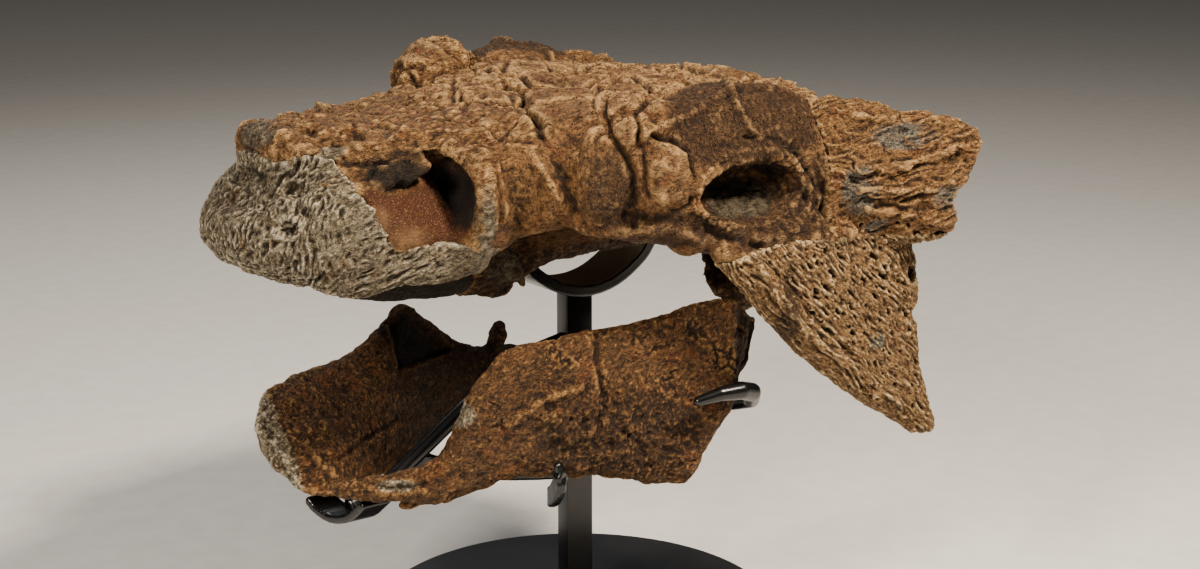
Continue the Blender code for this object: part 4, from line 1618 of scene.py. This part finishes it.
BEAK_CREST = (
    (-0.238, -0.060, 0.424),
    (-0.229, -0.074, 0.402),
    (-0.219, -0.085, 0.385),
    (-0.210, -0.094, 0.366),
)
HORN_LEDGES = (
    ((0.111, -0.200, 0.399), (0.134, -0.210, 0.397), (0.162, -0.218, 0.403), (0.192, -0.226, 0.412)),
    ((0.112, -0.202, 0.383), (0.137, -0.213, 0.382), (0.160, -0.221, 0.380), (0.180, -0.226, 0.384)),
    ((0.117, -0.203, 0.370), (0.135, -0.211, 0.364), (0.154, -0.218, 0.362), (0.176, -0.224, 0.354)),
    ((0.120, -0.190, 0.434), (0.146, -0.200, 0.432), (0.178, -0.216, 0.427)),
)
CHEEK_HORN_RIM = (
    (0.024, -0.190, 0.340),
    (0.045, -0.195, 0.309),
    (0.065, -0.199, 0.284),
    (0.087, -0.203, 0.265),
    (0.122, -0.209, 0.239),
    (0.152, -0.213, 0.215),
)

# Bites in the left cheek horn's rear edge: place along the skull, height, and radius in millimetres

CHEEK_HORN_BREAKS = ((0.169, 0.3115, 8.0), (0.173, 0.2815, 7.5), (0.182, 0.245, 7.5))
CHEEK_HORN_FURROW = (
    (0.036, -0.193, 0.336),
    (0.056, -0.198, 0.312),
    (0.078, -0.203, 0.286),
    (0.104, -0.207, 0.262),
)
JAW_FURROW = (
    (-0.0624, -0.1144, 0.283),
    (-0.0652, -0.1213, 0.270),
    (-0.0642, -0.1245, 0.253),
    (-0.0624, -0.1257, 0.231),
    (-0.0665, -0.1241, 0.213),
)
JAW_RIDGE = (
    (-0.1328, -0.1056, 0.2263),
    (-0.120, -0.1101, 0.2341),
    (-0.1062, -0.1144, 0.2427),
    (-0.0813, -0.121, 0.2478),
)
JAW_SLOT = ((-0.221, -0.046, 0.184), (-0.207, -0.065, 0.181), (-0.187, -0.077, 0.183))
JAW_FOSSA = Both((
    Slab((1, 0, 0), -0.124, -0.118),
    Slab((1, 0, 0), -0.046, -0.054),
    Slab((0, 0, 1), 0.221, 0.226),
    Slab((-0.083, 1.0, 0.0), 0.097, 0.092),
))

# Nicks in the left jaw's edges: place, and radius in millimetres

JAW_NICKS = (
    (-0.055, -0.121, 0.287, 5.5),
    (-0.011, -0.133, 0.292, 3.5),
    (-0.104, -0.109, 0.290, 4.5),
    (-0.091, -0.115, 0.177, 3.5),
)
CHIN_RIDGE = ((-0.232, 0.014, 0.200), (-0.229, 0.002, 0.185), (-0.216, -0.005, 0.173))
CHIN_FURROW = ((-0.210, 0.008, 0.183), (-0.169, 0.033, 0.186), (-0.131, 0.051, 0.188))


def beak_big() -> tuple[Form, ...]:
    """List the forms that shape the beak.

    Returns:
        Crest, foramina and body.
    """
    return (
        Rough(height=3.2, length=26, octaves=4, seed=61),
        Stroke(height=3.0, path=BEAK_CREST, width=2.6, wander=1.0, seed=62),
        Swell(height=-8.0, centre=(-0.266, -0.048, 0.402), radii=(0.012, 0.016, 0.008)),
        Swell(height=-7.0, centre=(-0.270, -0.066, 0.391), radii=(0.009, 0.014, 0.010)),
        Swell(height=-10.0, centre=(-0.281, -0.062, 0.380), radii=(0.010, 0.014, 0.008)),
        Swell(height=-6.0, centre=(-0.288, -0.012, 0.393), radii=(0.026, 0.040, 0.020)),
    )


def beak_fine() -> tuple[Form, ...]:
    """List the forms worked over the shaped beak.

    Returns:
        Slanting grooves that sweep round towards the nostril, and grain.
    """
    front = Slab((1, 0, 0), -0.225, -0.262)
    back = Both((Slab((1, 0, 0), -0.262, -0.225), Slab((1, 0, 0), -0.150, -0.200)))
    return (
        Fibres(height=1.7, along=(0.26, -0.26, 0.93), spacing=7, stretch=2.2, bend=9, where=front, seed=63),
        Fibres(height=1.4, along=(0.75, -0.35, 0.35), spacing=5.5, stretch=5, bend=6, where=back, seed=64),
        Rough(height=2.0, length=10, octaves=4, where=front, seed=65),
        Rough(height=0.5, length=4.5, octaves=3, seed=66),
        Pits(height=-3.2, spacing=9, radius=0.36, share=0.6, along=(0.26, -0.26, 0.93), stretch=1.8,
             where=front, seed=67),
    )


def corner_horn_big() -> tuple[Form, ...]:
    """List the forms that shape a rear corner horn.

    Returns:
        Long ledges and a ragged edge.
    """
    ledges = [
        Stroke(height=4.6, path=path, width=3.4, wander=2.5, seed=70 + i)
        for i, path in enumerate(HORN_LEDGES)
    ]
    return (Rough(height=3.0, length=24, octaves=4, seed=75), *ledges)


def corner_horn_fine() -> tuple[Form, ...]:
    """List the forms worked over a rear corner horn.

    Returns:
        Grain that runs to the tip, with pits along the lower root.
    """
    root = Zone((0.135, -0.205, 0.350), (0.055, 0.040, 0.018), 0.5)
    return (
        Fibres(height=1.6, along=(0.9, -0.35, 0.08), spacing=8, stretch=3.5, bend=9, seed=76),
        Rough(height=2.4, length=13, octaves=5, gain=0.6, seed=77),
        Pits(height=-5.0, spacing=10, radius=0.44, share=0.75, where=root, seed=78),
        Pits(height=-1.4, spacing=8, radius=0.26, share=0.3, seed=79),
    )


def cheek_horn_big() -> tuple[Form, ...]:
    """List the forms that shape a cheek horn.

    Returns:
        The leading rim and a ragged body.
    """
    return (
        Rough(height=3.0, length=20, octaves=5, seed=81),
        Stroke(height=3.2, path=CHEEK_HORN_RIM, width=3.2, wander=1.2, seed=82),
        Stroke(height=-3.0, path=CHEEK_HORN_FURROW, width=2.6, wander=1.2, seed=87),
        Swell(height=2.5, centre=(0.140, -0.205, 0.325), radii=(0.030, 0.020, 0.030)),
    )


def cheek_horn_fine() -> tuple[Form, ...]:
    """List the forms worked over a cheek horn.

    Returns:
        Open spongy pits, large above and small towards the tip.
    """
    slant = (0.72, -0.08, -0.68)
    rim = Rest(Along(CHEEK_HORN_RIM, 7.0))
    upper = Both((Zone((0.100, -0.200, 0.310), (0.080, 0.040, 0.062), 0.5), rim))
    return (
        Pits(height=-4.5, spacing=6.0, radius=0.45, share=0.75, along=slant, stretch=2.4,
             where=upper, seed=83),
        Pits(height=-2.4, spacing=4.8, radius=0.42, share=0.6, along=slant, stretch=1.6, where=rim, seed=84),
        Fibres(height=1.3, along=slant, spacing=5, stretch=5, bend=4, seed=85),
        Rough(height=0.6, length=4.5, octaves=2, seed=86),
    )


def left_jaw_big() -> tuple[Form, ...]:
    """List the forms that shape the left jaw.

    Returns:
        Furrow, ridge and slot.
    """
    return (
        Rough(height=3.4, length=28, octaves=5, gain=0.55, seed=91),
        Stroke(height=-4.5, path=JAW_FURROW, width=3.0, wander=3.0, seed=92),
        Stroke(height=4.2, path=JAW_RIDGE, width=5.0, seed=94),
        Stroke(height=-3.6, path=JAW_SLOT, width=3.0, wander=0.8, seed=95),
        Swell(height=-9.0, centre=(0.062, -0.152, 0.262), radii=(0.028, 0.030, 0.050), flat=0.5,
              paired=False),
    )


def left_jaw_fine() -> tuple[Form, ...]:
    """List the forms worked over the left jaw.

    Returns:
        Lumps and pits over the lower half and a smoother upper half.
    """
    wrinkled = Zone((-0.050, -0.130, 0.206), (0.110, 0.060, 0.062), 0.7, paired=False)
    return (
        Rough(height=3.4, length=12, octaves=4, gain=0.6, where=wrinkled, seed=96),
        Fibres(height=0.6, along=(0.35, -0.1, -0.9), spacing=9, stretch=1.8, bend=12,
               where=wrinkled, seed=97),
        Cracks(height=-2.2, spacing=22, width=1.1, share=0.4, seed=90),
        Pits(height=-2.6, spacing=9, radius=0.3, share=0.4, where=wrinkled, seed=89),
        Rough(height=2.0, length=13, octaves=4, gain=0.62, seed=98),
        Pits(height=-1.1, spacing=8, radius=0.24, share=0.3, seed=99),
    )


def right_jaw_big() -> tuple[Form, ...]:
    """List the forms that shape the right jaw.

    Returns:
        Inner fossa, ridge and furrow, with a ragged rim.
    """
    return (
        Rough(height=3.2, length=24, octaves=5, gain=0.55, seed=101),
        Swell(height=-5.0, centre=(-0.080, 0.070, 0.240), radii=(0.2, 0.2, 0.2), flat=0.8,
              where=JAW_FOSSA, paired=False),
        Stroke(height=3.0, path=CHIN_RIDGE, width=4.0, paired=False, seed=102),
        Stroke(height=-2.6, path=CHIN_FURROW, width=3.0, paired=False, seed=103),
    )


def right_jaw_fine() -> tuple[Form, ...]:
    """List the forms worked over the right jaw.

    Returns:
        Fine grain inside and a rough rim.
    """
    rim = Slab((1, 0, 0), -0.205, -0.240)
    return (
        Rough(height=1.8, length=13, octaves=4, gain=0.6, where=rim, seed=104),
        Rough(height=1.6, length=11, octaves=4, gain=0.6, seed=105),
        Pits(height=-1.0, spacing=7, radius=0.28, share=0.4, seed=106),
    )


@dataclass
class Skull:
    """The upper skull: beak, cranium and four horns.

    Attributes:
        brown: Finish of brown bone.
        grey: Finish of the beak.
        sandy: Finish of the cheek horns.
    """

    brown: bpy.types.Material
    grey: bpy.types.Material
    sandy: bpy.types.Material

    def bones(self) -> list[Bone]:
        """List the bones of the upper skull.

        Returns:
            The bones, ready to build.
        """
        listed = [
            Bone(
                node="cranium",
                slot="brown_bone",
                material=self.brown,
                big=cranium_big(),
                fine=cranium_fine(),
                tints={
                    Tint.WARM: (Both((NOSTRIL_INSIDE, Rest(NOSTRIL_ROOF))),),
                    Tint.STEEP: (BROW, CHEEK, PIT_BAND),
                    # Painted light: the lachrymal is lightened where the lamps leave it dim.
                    Tint.GOLD_AND_PAINTED_LIGHT: (Zone((-0.118, -0.112, 0.395), (0.028, 0.030, 0.042), 0.5),),
                    # Darker brown on the brow and round the orbit, partly painted shade, as on the nostril's
                    # roof and the underside.
                    Tint.BROWN: (
                        BROW,
                        PIT_BAND,
                        ORBIT_INSIDE,
                        Zone((-0.202, -0.083, 0.414), (0.038, 0.030, 0.016), 0.3),
                        Zone((-0.072, -0.145, 0.395), (0.030, 0.040, 0.045), 0.7),
                        Zone((-0.016, -0.150, 0.365), (0.074, 0.060, 0.022), 0.6),
                        Zone((0.040, -0.190, 0.372), (0.066, 0.030, 0.040), 0.5),
                        UNDERSIDE,
                    ),
                    # Painted shade, near black: the snout's front notch, the dish behind the orbit, deep in
                    # the nostril and under its roof.
                    Tint.DARK: (
                        Zone((-0.276, 0.004, 0.409), (0.014, 0.034, 0.009), 0.6),
                        Zone((0.062, -0.163, 0.404), (0.026, 0.022, 0.014), 0.5),
                        NOSTRIL_DEPTH,
                        Zone((-0.204, -0.083, 0.411), (0.034, 0.030, 0.012), 0.6),
                    ),
                    Tint.GREY: (
                        Both((ORBIT_INSIDE, EYE_DEPTH, Slab((0, 0, 1), 0.392, 0.384))),
                        NOSTRIL_BORDER,
                        Zone((-0.264, 0.0, 0.432), (0.016, 0.040, 0.018), 0.6),
                        Zone((-0.243, -0.058, 0.430), (0.016, 0.012, 0.012), 0.6),
                        Zone((-0.100, -0.052, 0.325), (0.020, 0.025, 0.025), 0.6),
                    ),
                },
                calm=(
                    (BROW, 45),
                    (Both((NOSTRIL_INSIDE, Rest(NOSTRIL_ROOF))), 120),
                    (Zone((-0.092, -0.130, 0.396), (0.060, 0.050, 0.044), 0.4), 30),
                    (ORBIT_INSIDE, 110),
                ),
                lumps=cranium_lumps(),
            ),
            Bone(
                node="beak",
                slot="grey_bone",
                material=self.grey,
                big=beak_big(),
                fine=beak_fine(),
                tints={
                    Tint.GREY: (Everywhere(),),
                    Tint.STEEP: (Slab((1, 0, 0), -0.225, -0.262),),
                    # Painted shade, near black, under the beak's lower edge and in its front notch.
                    Tint.DARK: (
                        Both((Slab((0, 0, 1), 0.330, 0.322), Slab((0, 1, 0), -0.064, -0.052))),
                        Zone((-0.278, 0.0, 0.407), (0.014, 0.034, 0.008), 0.6),
                    ),
                },
                bites=(
                    Lump((-0.297, -0.052, 0.349), (-0.294, -0.058, 0.347), 5.0, 5.0),
                    Lump((-0.263, -0.093, 0.322), (-0.258, -0.099, 0.321), 5.0, 6.0),
                    Lump((-0.236, -0.104, 0.317), (-0.230, -0.107, 0.317), 4.0, 4.0),
                ),
                voxel=1.1,
                faces=170_000,
            ),
        ]
        for word, side in (("left", -1), ("right", 1)):
            listed.append(Bone(
                node="squamosal_horn_" + word,
                slot="brown_bone",
                material=self.brown,
                big=corner_horn_big(),
                fine=corner_horn_fine(),
                tints={
                    Tint.GOLD_AND_PAINTED_LIGHT: (Everywhere(),),
                    Tint.BLUE: (
                        Zone((0.112, -0.200, 0.382), (0.018, 0.040, 0.030), 0.7),
                        Zone((0.150, -0.208, 0.420), (0.042, 0.040, 0.016), 0.8),
                        Zone((0.180, -0.220, 0.374), (0.026, 0.040, 0.016), 0.9),
                        Zone((0.128, -0.205, 0.354), (0.018, 0.030, 0.010), 0.8),
                    ),
                },
                bites=(
                    Lump((0.192, side * 0.226, 0.369), (0.200, side * 0.228, 0.371), 11.0, 15.0),
                    Lump((0.112, side * 0.206, 0.448), (0.114, side * 0.200, 0.452), 7.0, 7.0),
                ),
                voxel=1.0,
                faces=110_000,
            ))
            listed.append(Bone(
                node="quadratojugal_horn_" + word,
                slot="brown_bone",
                material=self.sandy,
                big=cheek_horn_big(),
                fine=cheek_horn_fine(),
                tints={
                    Tint.GOLD_AND_PAINTED_LIGHT: (Everywhere(),),
                    Tint.BLUE: (Zone((0.128, -0.205, 0.268), (0.012, 0.020, 0.010), 0.8),),
                    # Painted shade in darker brown along the horn's top under the cheek and along its leading
                    # edge.
                    Tint.BROWN: (
                        Zone((0.100, -0.200, 0.348), (0.040, 0.040, 0.012), 0.8),
                        Zone((0.052, -0.190, 0.300), (0.012, 0.040, 0.060), 0.8),
                    ),
                },
                bites=tuple(
                    Lump((x, side * 0.188, z), (x + 0.002, side * 0.226, z), reach, reach)
                    for x, z, reach in CHEEK_HORN_BREAKS
                ) if word == "left" else (),
                voxel=1.0,
                faces=110_000,
            ))
        return listed


@dataclass
class LowerJaw:
    """The two halves of the lower jaw.

    Attributes:
        material: Finish of the jaw's bone.
    """

    material: bpy.types.Material

    def bones(self) -> list[Bone]:
        """List the bones of the lower jaw.

        Returns:
            The bones, ready to build.
        """
        return [
            Bone(
                node="mandible_left",
                slot="brown_bone",
                material=self.material,
                big=left_jaw_big(),
                fine=left_jaw_fine(),
                tints={
                    Tint.STEEP: (Zone((-0.050, -0.130, 0.214), (0.095, 0.060, 0.056), 0.5, paired=False),),
                    # Darker brown over the lower half, and painted shade on the rear flange where the cheek
                    # horn shades it.
                    Tint.BROWN: (
                        Zone((-0.050, -0.130, 0.205), (0.105, 0.060, 0.046), 0.6, paired=False),
                        Slab((1, 0, 0), 0.030, 0.060),
                    ),
                    Tint.GREY: (
                        Zone((-0.160, -0.083, 0.232), (0.022, 0.020, 0.014), 0.7, paired=False),
                        Zone((-0.205, -0.066, 0.182), (0.022, 0.020, 0.006), 0.7, paired=False),
                    ),
                },
                lumps=(
                    Lump((-0.190, -0.052, 0.160), (-0.176, -0.058, 0.166), 4.0, 5.0),
                ),
                bites=tuple(
                    Lump((x, y - 0.014, z), (x, y + 0.014, z), reach, reach) for x, y, z, reach in JAW_NICKS
                ),
                voxel=1.1,
                faces=150_000,
            ),
            Bone(
                node="mandible_right",
                slot="brown_bone",
                material=self.material,
                big=right_jaw_big(),
                fine=right_jaw_fine(),
                tints={
                    Tint.GREY: (Slab((1, 0, 0), -0.234, -0.258),),
                    # Painted shade: near black in the inner fossa and darker brown on the inner face under
                    # the skull.
                    Tint.DARK: (JAW_FOSSA,),
                    Tint.BROWN: (Slab((1, 0, 0), -0.150, -0.110),),
                },
                lumps=(
                    Lump((-0.199, 0.067, 0.222), (-0.197, 0.066, 0.232), 9.0, 7.0),
                ),
                voxel=1.1,
                faces=120_000,
            ),
        ]


@dataclass
class Crumbs:
    """Crumbs of bone that lie on a surface, laid by Geometry Nodes.

    Attributes:
        name: Name of the piece.
        host: Object that they lie on.
        material: Their finish.
        slot: Material slot of the record; not used.
        density: How many there are on a square metre.
        smallest: Least radius in millimetres.
        largest: Most radius in millimetres.
        lowest: Height in metres above which they lie.
        seed: Number that picks the draw.
    """

    name: str
    host: bpy.types.Object
    material: bpy.types.Material
    slot: str
    density: float
    smallest: float
    largest: float
    lowest: float
    seed: int

    def group(self) -> bpy.types.NodeTree:
        """Make the node group that lays the crumbs.

        Returns:
            The node group.
        """
        tree = bpy.data.node_groups.new(self.name, "GeometryNodeTree")
        sockets = (("Surface", "Geometry"), ("Density", "Float"), ("Smallest", "Float"), ("Largest", "Float"),
                   ("Lowest", "Float"), ("Seed", "Int"), ("Finish", "Material"))
        for name, kind in sockets:
            tree.interface.new_socket(name=name, in_out="INPUT", socket_type="NodeSocket" + kind)
        tree.interface.new_socket(name="Crumbs", in_out="OUTPUT", socket_type="NodeSocketGeometry")
        nodes, links = tree.nodes, tree.links
        given = nodes.new("NodeGroupInput").outputs
        place = nodes.new("GeometryNodeInputPosition")
        split = nodes.new("ShaderNodeSeparateXYZ")
        links.new(place.outputs[0], split.inputs[0])
        above = nodes.new("FunctionNodeCompare")
        above.operation = "GREATER_THAN"
        links.new(split.outputs["Z"], above.inputs[0])
        links.new(given["Lowest"], above.inputs[1])
        spots = nodes.new("GeometryNodeDistributePointsOnFaces")
        links.new(given["Surface"], spots.inputs["Mesh"])
        links.new(above.outputs[0], spots.inputs["Selection"])
        links.new(given["Density"], spots.inputs["Density"])
        links.new(given["Seed"], spots.inputs["Seed"])
        crumb = nodes.new("GeometryNodeMeshIcoSphere")
        crumb.inputs["Radius"].default_value = 1.0
        crumb.inputs["Subdivisions"].default_value = 2
        turn = nodes.new("FunctionNodeRandomValue")
        turn.data_type = "FLOAT_VECTOR"
        turn.inputs[1].default_value = (math.tau, math.tau, math.tau)
        links.new(given["Seed"], turn.inputs["Seed"])
        size = nodes.new("FunctionNodeRandomValue")
        size.data_type = "FLOAT_VECTOR"
        links.new(given["Smallest"], size.inputs[0])
        links.new(given["Largest"], size.inputs[1])
        links.new(given["Seed"], size.inputs["Seed"])
        laid = nodes.new("GeometryNodeInstanceOnPoints")
        links.new(spots.outputs["Points"], laid.inputs["Points"])
        links.new(crumb.outputs[0], laid.inputs["Instance"])
        links.new(turn.outputs[0], laid.inputs["Rotation"])
        links.new(size.outputs[0], laid.inputs["Scale"])
        real = nodes.new("GeometryNodeRealizeInstances")
        links.new(laid.outputs[0], real.inputs[0])
        finish = nodes.new("GeometryNodeSetMaterial")
        links.new(real.outputs[0], finish.inputs["Geometry"])
        links.new(given["Finish"], finish.inputs["Material"])
        links.new(finish.outputs[0], nodes.new("NodeGroupOutput").inputs[0])
        return tree

    def build(self) -> bpy.types.Object:
        """Lay the crumbs and turn them into a mesh of their own.

        Returns:
            The finished piece.
        """
        thing = add_object(self.name, self.host.data.copy())
        step = thing.modifiers.new("crumbs", "NODES")
        step.node_group = self.group()
        sizes = {"Density": float(self.density), "Smallest": self.smallest * MM, "Largest": self.largest * MM,
                 "Lowest": self.lowest, "Seed": self.seed, "Finish": self.material}
        for item in step.node_group.interface.items_tree:
            if item.name in sizes:
                step[item.identifier] = sizes[item.name]
        bake(thing)
        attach(thing, "root")
        LOG.info("%s: %d faces", self.name, len(thing.data.polygons))
        return thing


# Line of the rear left hook from the post to its tip, with its radius in millimetres

FINGER = (
    (0.004, -0.004, 0.206, 5.0),
    (0.030, -0.050, 0.206, 5.0),
    (0.046, -0.100, 0.208, 5.2),
    (0.058, -0.128, 0.213, 5.6),
    (0.0585, -0.147, 0.220, 6.0),
    (0.050, -0.158, 0.2295, 6.2),
    (0.036, -0.163, 0.2345, 5.8),
    (0.018, -0.161, 0.2345, 4.4),
    (0.000, -0.1555, 0.2305, 2.6),
)

# Height of the cradle's centre and half length of its facing, in metres, and how squarely a face
# has to look at the centre to carry the facing

CRADLE_MIDDLE = 0.352
FACING_REACH = 0.058
FACING_SQUARENESS = 0.8

BAR_MESH_MM = 0.8
BAR_SWELL_MM = 1.2
SLAB_EDGE_MM = 2.2
POST_EDGE_MM = 1.4
SHARP_ANGLE = math.radians(40)
BEVEL_ANGLE = math.radians(50)


@dataclass
class Stand:
    """The display stand: slab, post, cradle, chin rest and four hooks.

    Attributes:
        steel: Finish of the bars.
        slab: Finish of the base.
        rubber: Finish of the cradle's facing.
    """

    steel: bpy.types.Material
    slab: bpy.types.Material
    rubber: bpy.types.Material

    def build(self, frame: dict) -> None:
        """Round and finish each part of the stand.

        Args:
            frame: The loaded frame.
        """
        self.edged(frame, "stand_base")
        self.edged(frame, "stand_post")
        for name in frame["nodes"]:
            if name.startswith("stand_") and name not in ("stand_base", "stand_post"):
                self.bar(frame, name)

    def bar(self, frame: dict, node: str) -> None:
        """Round a bent bar all over, as if it were dipped.

        Args:
            frame: The loaded frame.
            node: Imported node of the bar.
        """
        mesh = self.finger() if node == "stand_hook_left_rear" else merged_node_mesh(frame, node)
        thing = add_object(node + "_bar", mesh)
        remesh = thing.modifiers.new("grow", "REMESH")
        remesh.mode = "VOXEL"
        remesh.voxel_size = BAR_MESH_MM * MM
        bake(thing)
        skin = Skin(thing.data)
        skin.soften(10)
        if "hook" in node or "rest" in node:
            skin.points += skin.normals * BAR_SWELL_MM * MM
            skin.write()
            skin.soften(6)
        self.keep(thing, node, self.steel)
        if node == "stand_skull_cradle":
            self.line(thing)

    def finger(self) -> bpy.types.Mesh:
        """Build the hook that wraps round the left jaw's rear as a round finger.

        Returns:
            Its mesh, as overlapping balls that the caller melts together.
        """
        shape = bmesh.new()
        for (*start, first), (*end, last) in zip(FINGER, FINGER[1:]):
            for step in range(20):
                share = step / 20
                place = Matrix.Translation(Vector(start).lerp(Vector(end), share))
                radius = (first + (last - first) * share) * MM
                bmesh.ops.create_icosphere(shape, subdivisions=2, radius=radius, matrix=place)
        return mesh_of(shape, "finger")

    def line(self, thing: bpy.types.Object) -> None:
        """Give the cradle's inner face its bonded rubber facing.

        Args:
            thing: The cradle.
        """
        mesh = thing.data
        mesh.materials.append(self.rubber)
        for face in mesh.polygons:
            inwards = Vector((-face.center.x, 0.0, CRADLE_MIDDLE - face.center.z)).normalized()
            if face.normal.dot(inwards) > FACING_SQUARENESS and abs(face.center.x) < FACING_REACH:
                face.material_index = 1

    def edged(self, frame: dict, node: str) -> None:
        """Give the slab or the post fine rounded edges.

        Args:
            frame: The loaded frame.
            node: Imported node.
        """
        low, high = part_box(node)
        if node == "stand_base":
            shape = bmesh.new()
            radius = (high[0] - low[0]) / 2
            tall = high[2] - low[2]
            bmesh.ops.create_cone(
                shape, cap_ends=True, segments=192, radius1=radius, radius2=radius, depth=tall)
            bmesh.ops.translate(shape, verts=shape.verts, vec=(0, 0, tall / 2))
            mesh = mesh_of(shape, node)
        else:
            mesh = merged_node_mesh(frame, node)
        thing = add_object(node + "_edged", mesh)
        bevel = thing.modifiers.new("edge", "BEVEL")
        bevel.width = (SLAB_EDGE_MM if node == "stand_base" else POST_EDGE_MM) * MM
        bevel.segments = 4
        bevel.angle_limit = BEVEL_ANGLE
        bake(thing)
        self.keep(thing, node, self.slab if node == "stand_base" else self.steel)

    def keep(self, thing: bpy.types.Object, node: str, material: bpy.types.Material) -> None:
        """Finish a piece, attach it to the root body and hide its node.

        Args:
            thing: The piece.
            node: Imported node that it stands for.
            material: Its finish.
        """
        coat(thing.data, material)
        thing.data.set_sharp_from_angle(angle=SHARP_ANGLE)
        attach(thing, "root")
        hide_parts(node)


def main() -> None:
    """Build every piece in order."""
    logging.basicConfig(level=logging.INFO, format="%(message)s")
    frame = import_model()
    # Mineralised bone is as dull as stone, with tan painted highlights on its crests over dark painted shade
    # in its furrows. Its finest grain is too fine to show, so it is drawn 2.4 mm wide.
    brown = FossilBone("brown_fossil_bone", grey="#4e4332", grey_pale="#94866e").build()
    # The beak's bone looks woven, chalky grey and coarser than the rest.
    grey = FossilBone("grey_fossil_bone", along=(0.9, 0.0, 0.25), steep=(0.32, 0.0, 0.95), body="#54402a",
                      gold="#66492c", stain="#5c3a20", relief_mm=4.2).build()
    # The cheek horns' spongy bone looks sandy and dry, with a grain that slants to the tip, and bright
    # painted highlights.
    sandy = FossilBone("sandy_fossil_bone", along=(0.72, 0.0, -0.68), body="#785531", gold="#7e5d37",
                       stain="#5c3a1c", pale="#e6c694", relief_mm=3.8).build()
    # The jaws' bone looks ochre and darker than the skull's, with dimmer painted highlights on its crests.
    jaw = FossilBone("ochre_fossil_bone", along=(0.9, 0.0, 0.4), body="#492f15", gold="#5c3d20",
                     pale="#9c7444").build()
    # Steel bars with satin black paint: near black, smooth, with soft long highlights.
    steel = PlainFinish("black_satin_painted_steel", "#060607", "#0b0b0c", 0.25).build()
    # Powder coat on the base: dark grey and even, with a faint orange-peel grain and a broad sheen.
    slab = PlainFinish("dark_grey_powder_coat", "#161618", "#1e1e20", 0.5, 0.8, 0.08).build()
    built = {}
    for bone in Skull(brown, grey, sandy).bones() + LowerJaw(jaw).bones():
        built[bone.node] = bone.build(frame)
    # Moulded rubber bonded to the cradle: beige, matt and quite smooth.
    rubber = PlainFinish("beige_moulded_rubber", "#b0a489", "#bcb096", 0.7, 0.6, 0.05).build()
    Stand(steel, slab, rubber).build(frame)
    Crumbs("roof_crumbs", built["cranium"], brown, "brown_bone", density=9000, smallest=0.7,
           largest=1.9, lowest=0.436, seed=8).build()
    Studio().build()


if __name__ == "__main__":
    main()
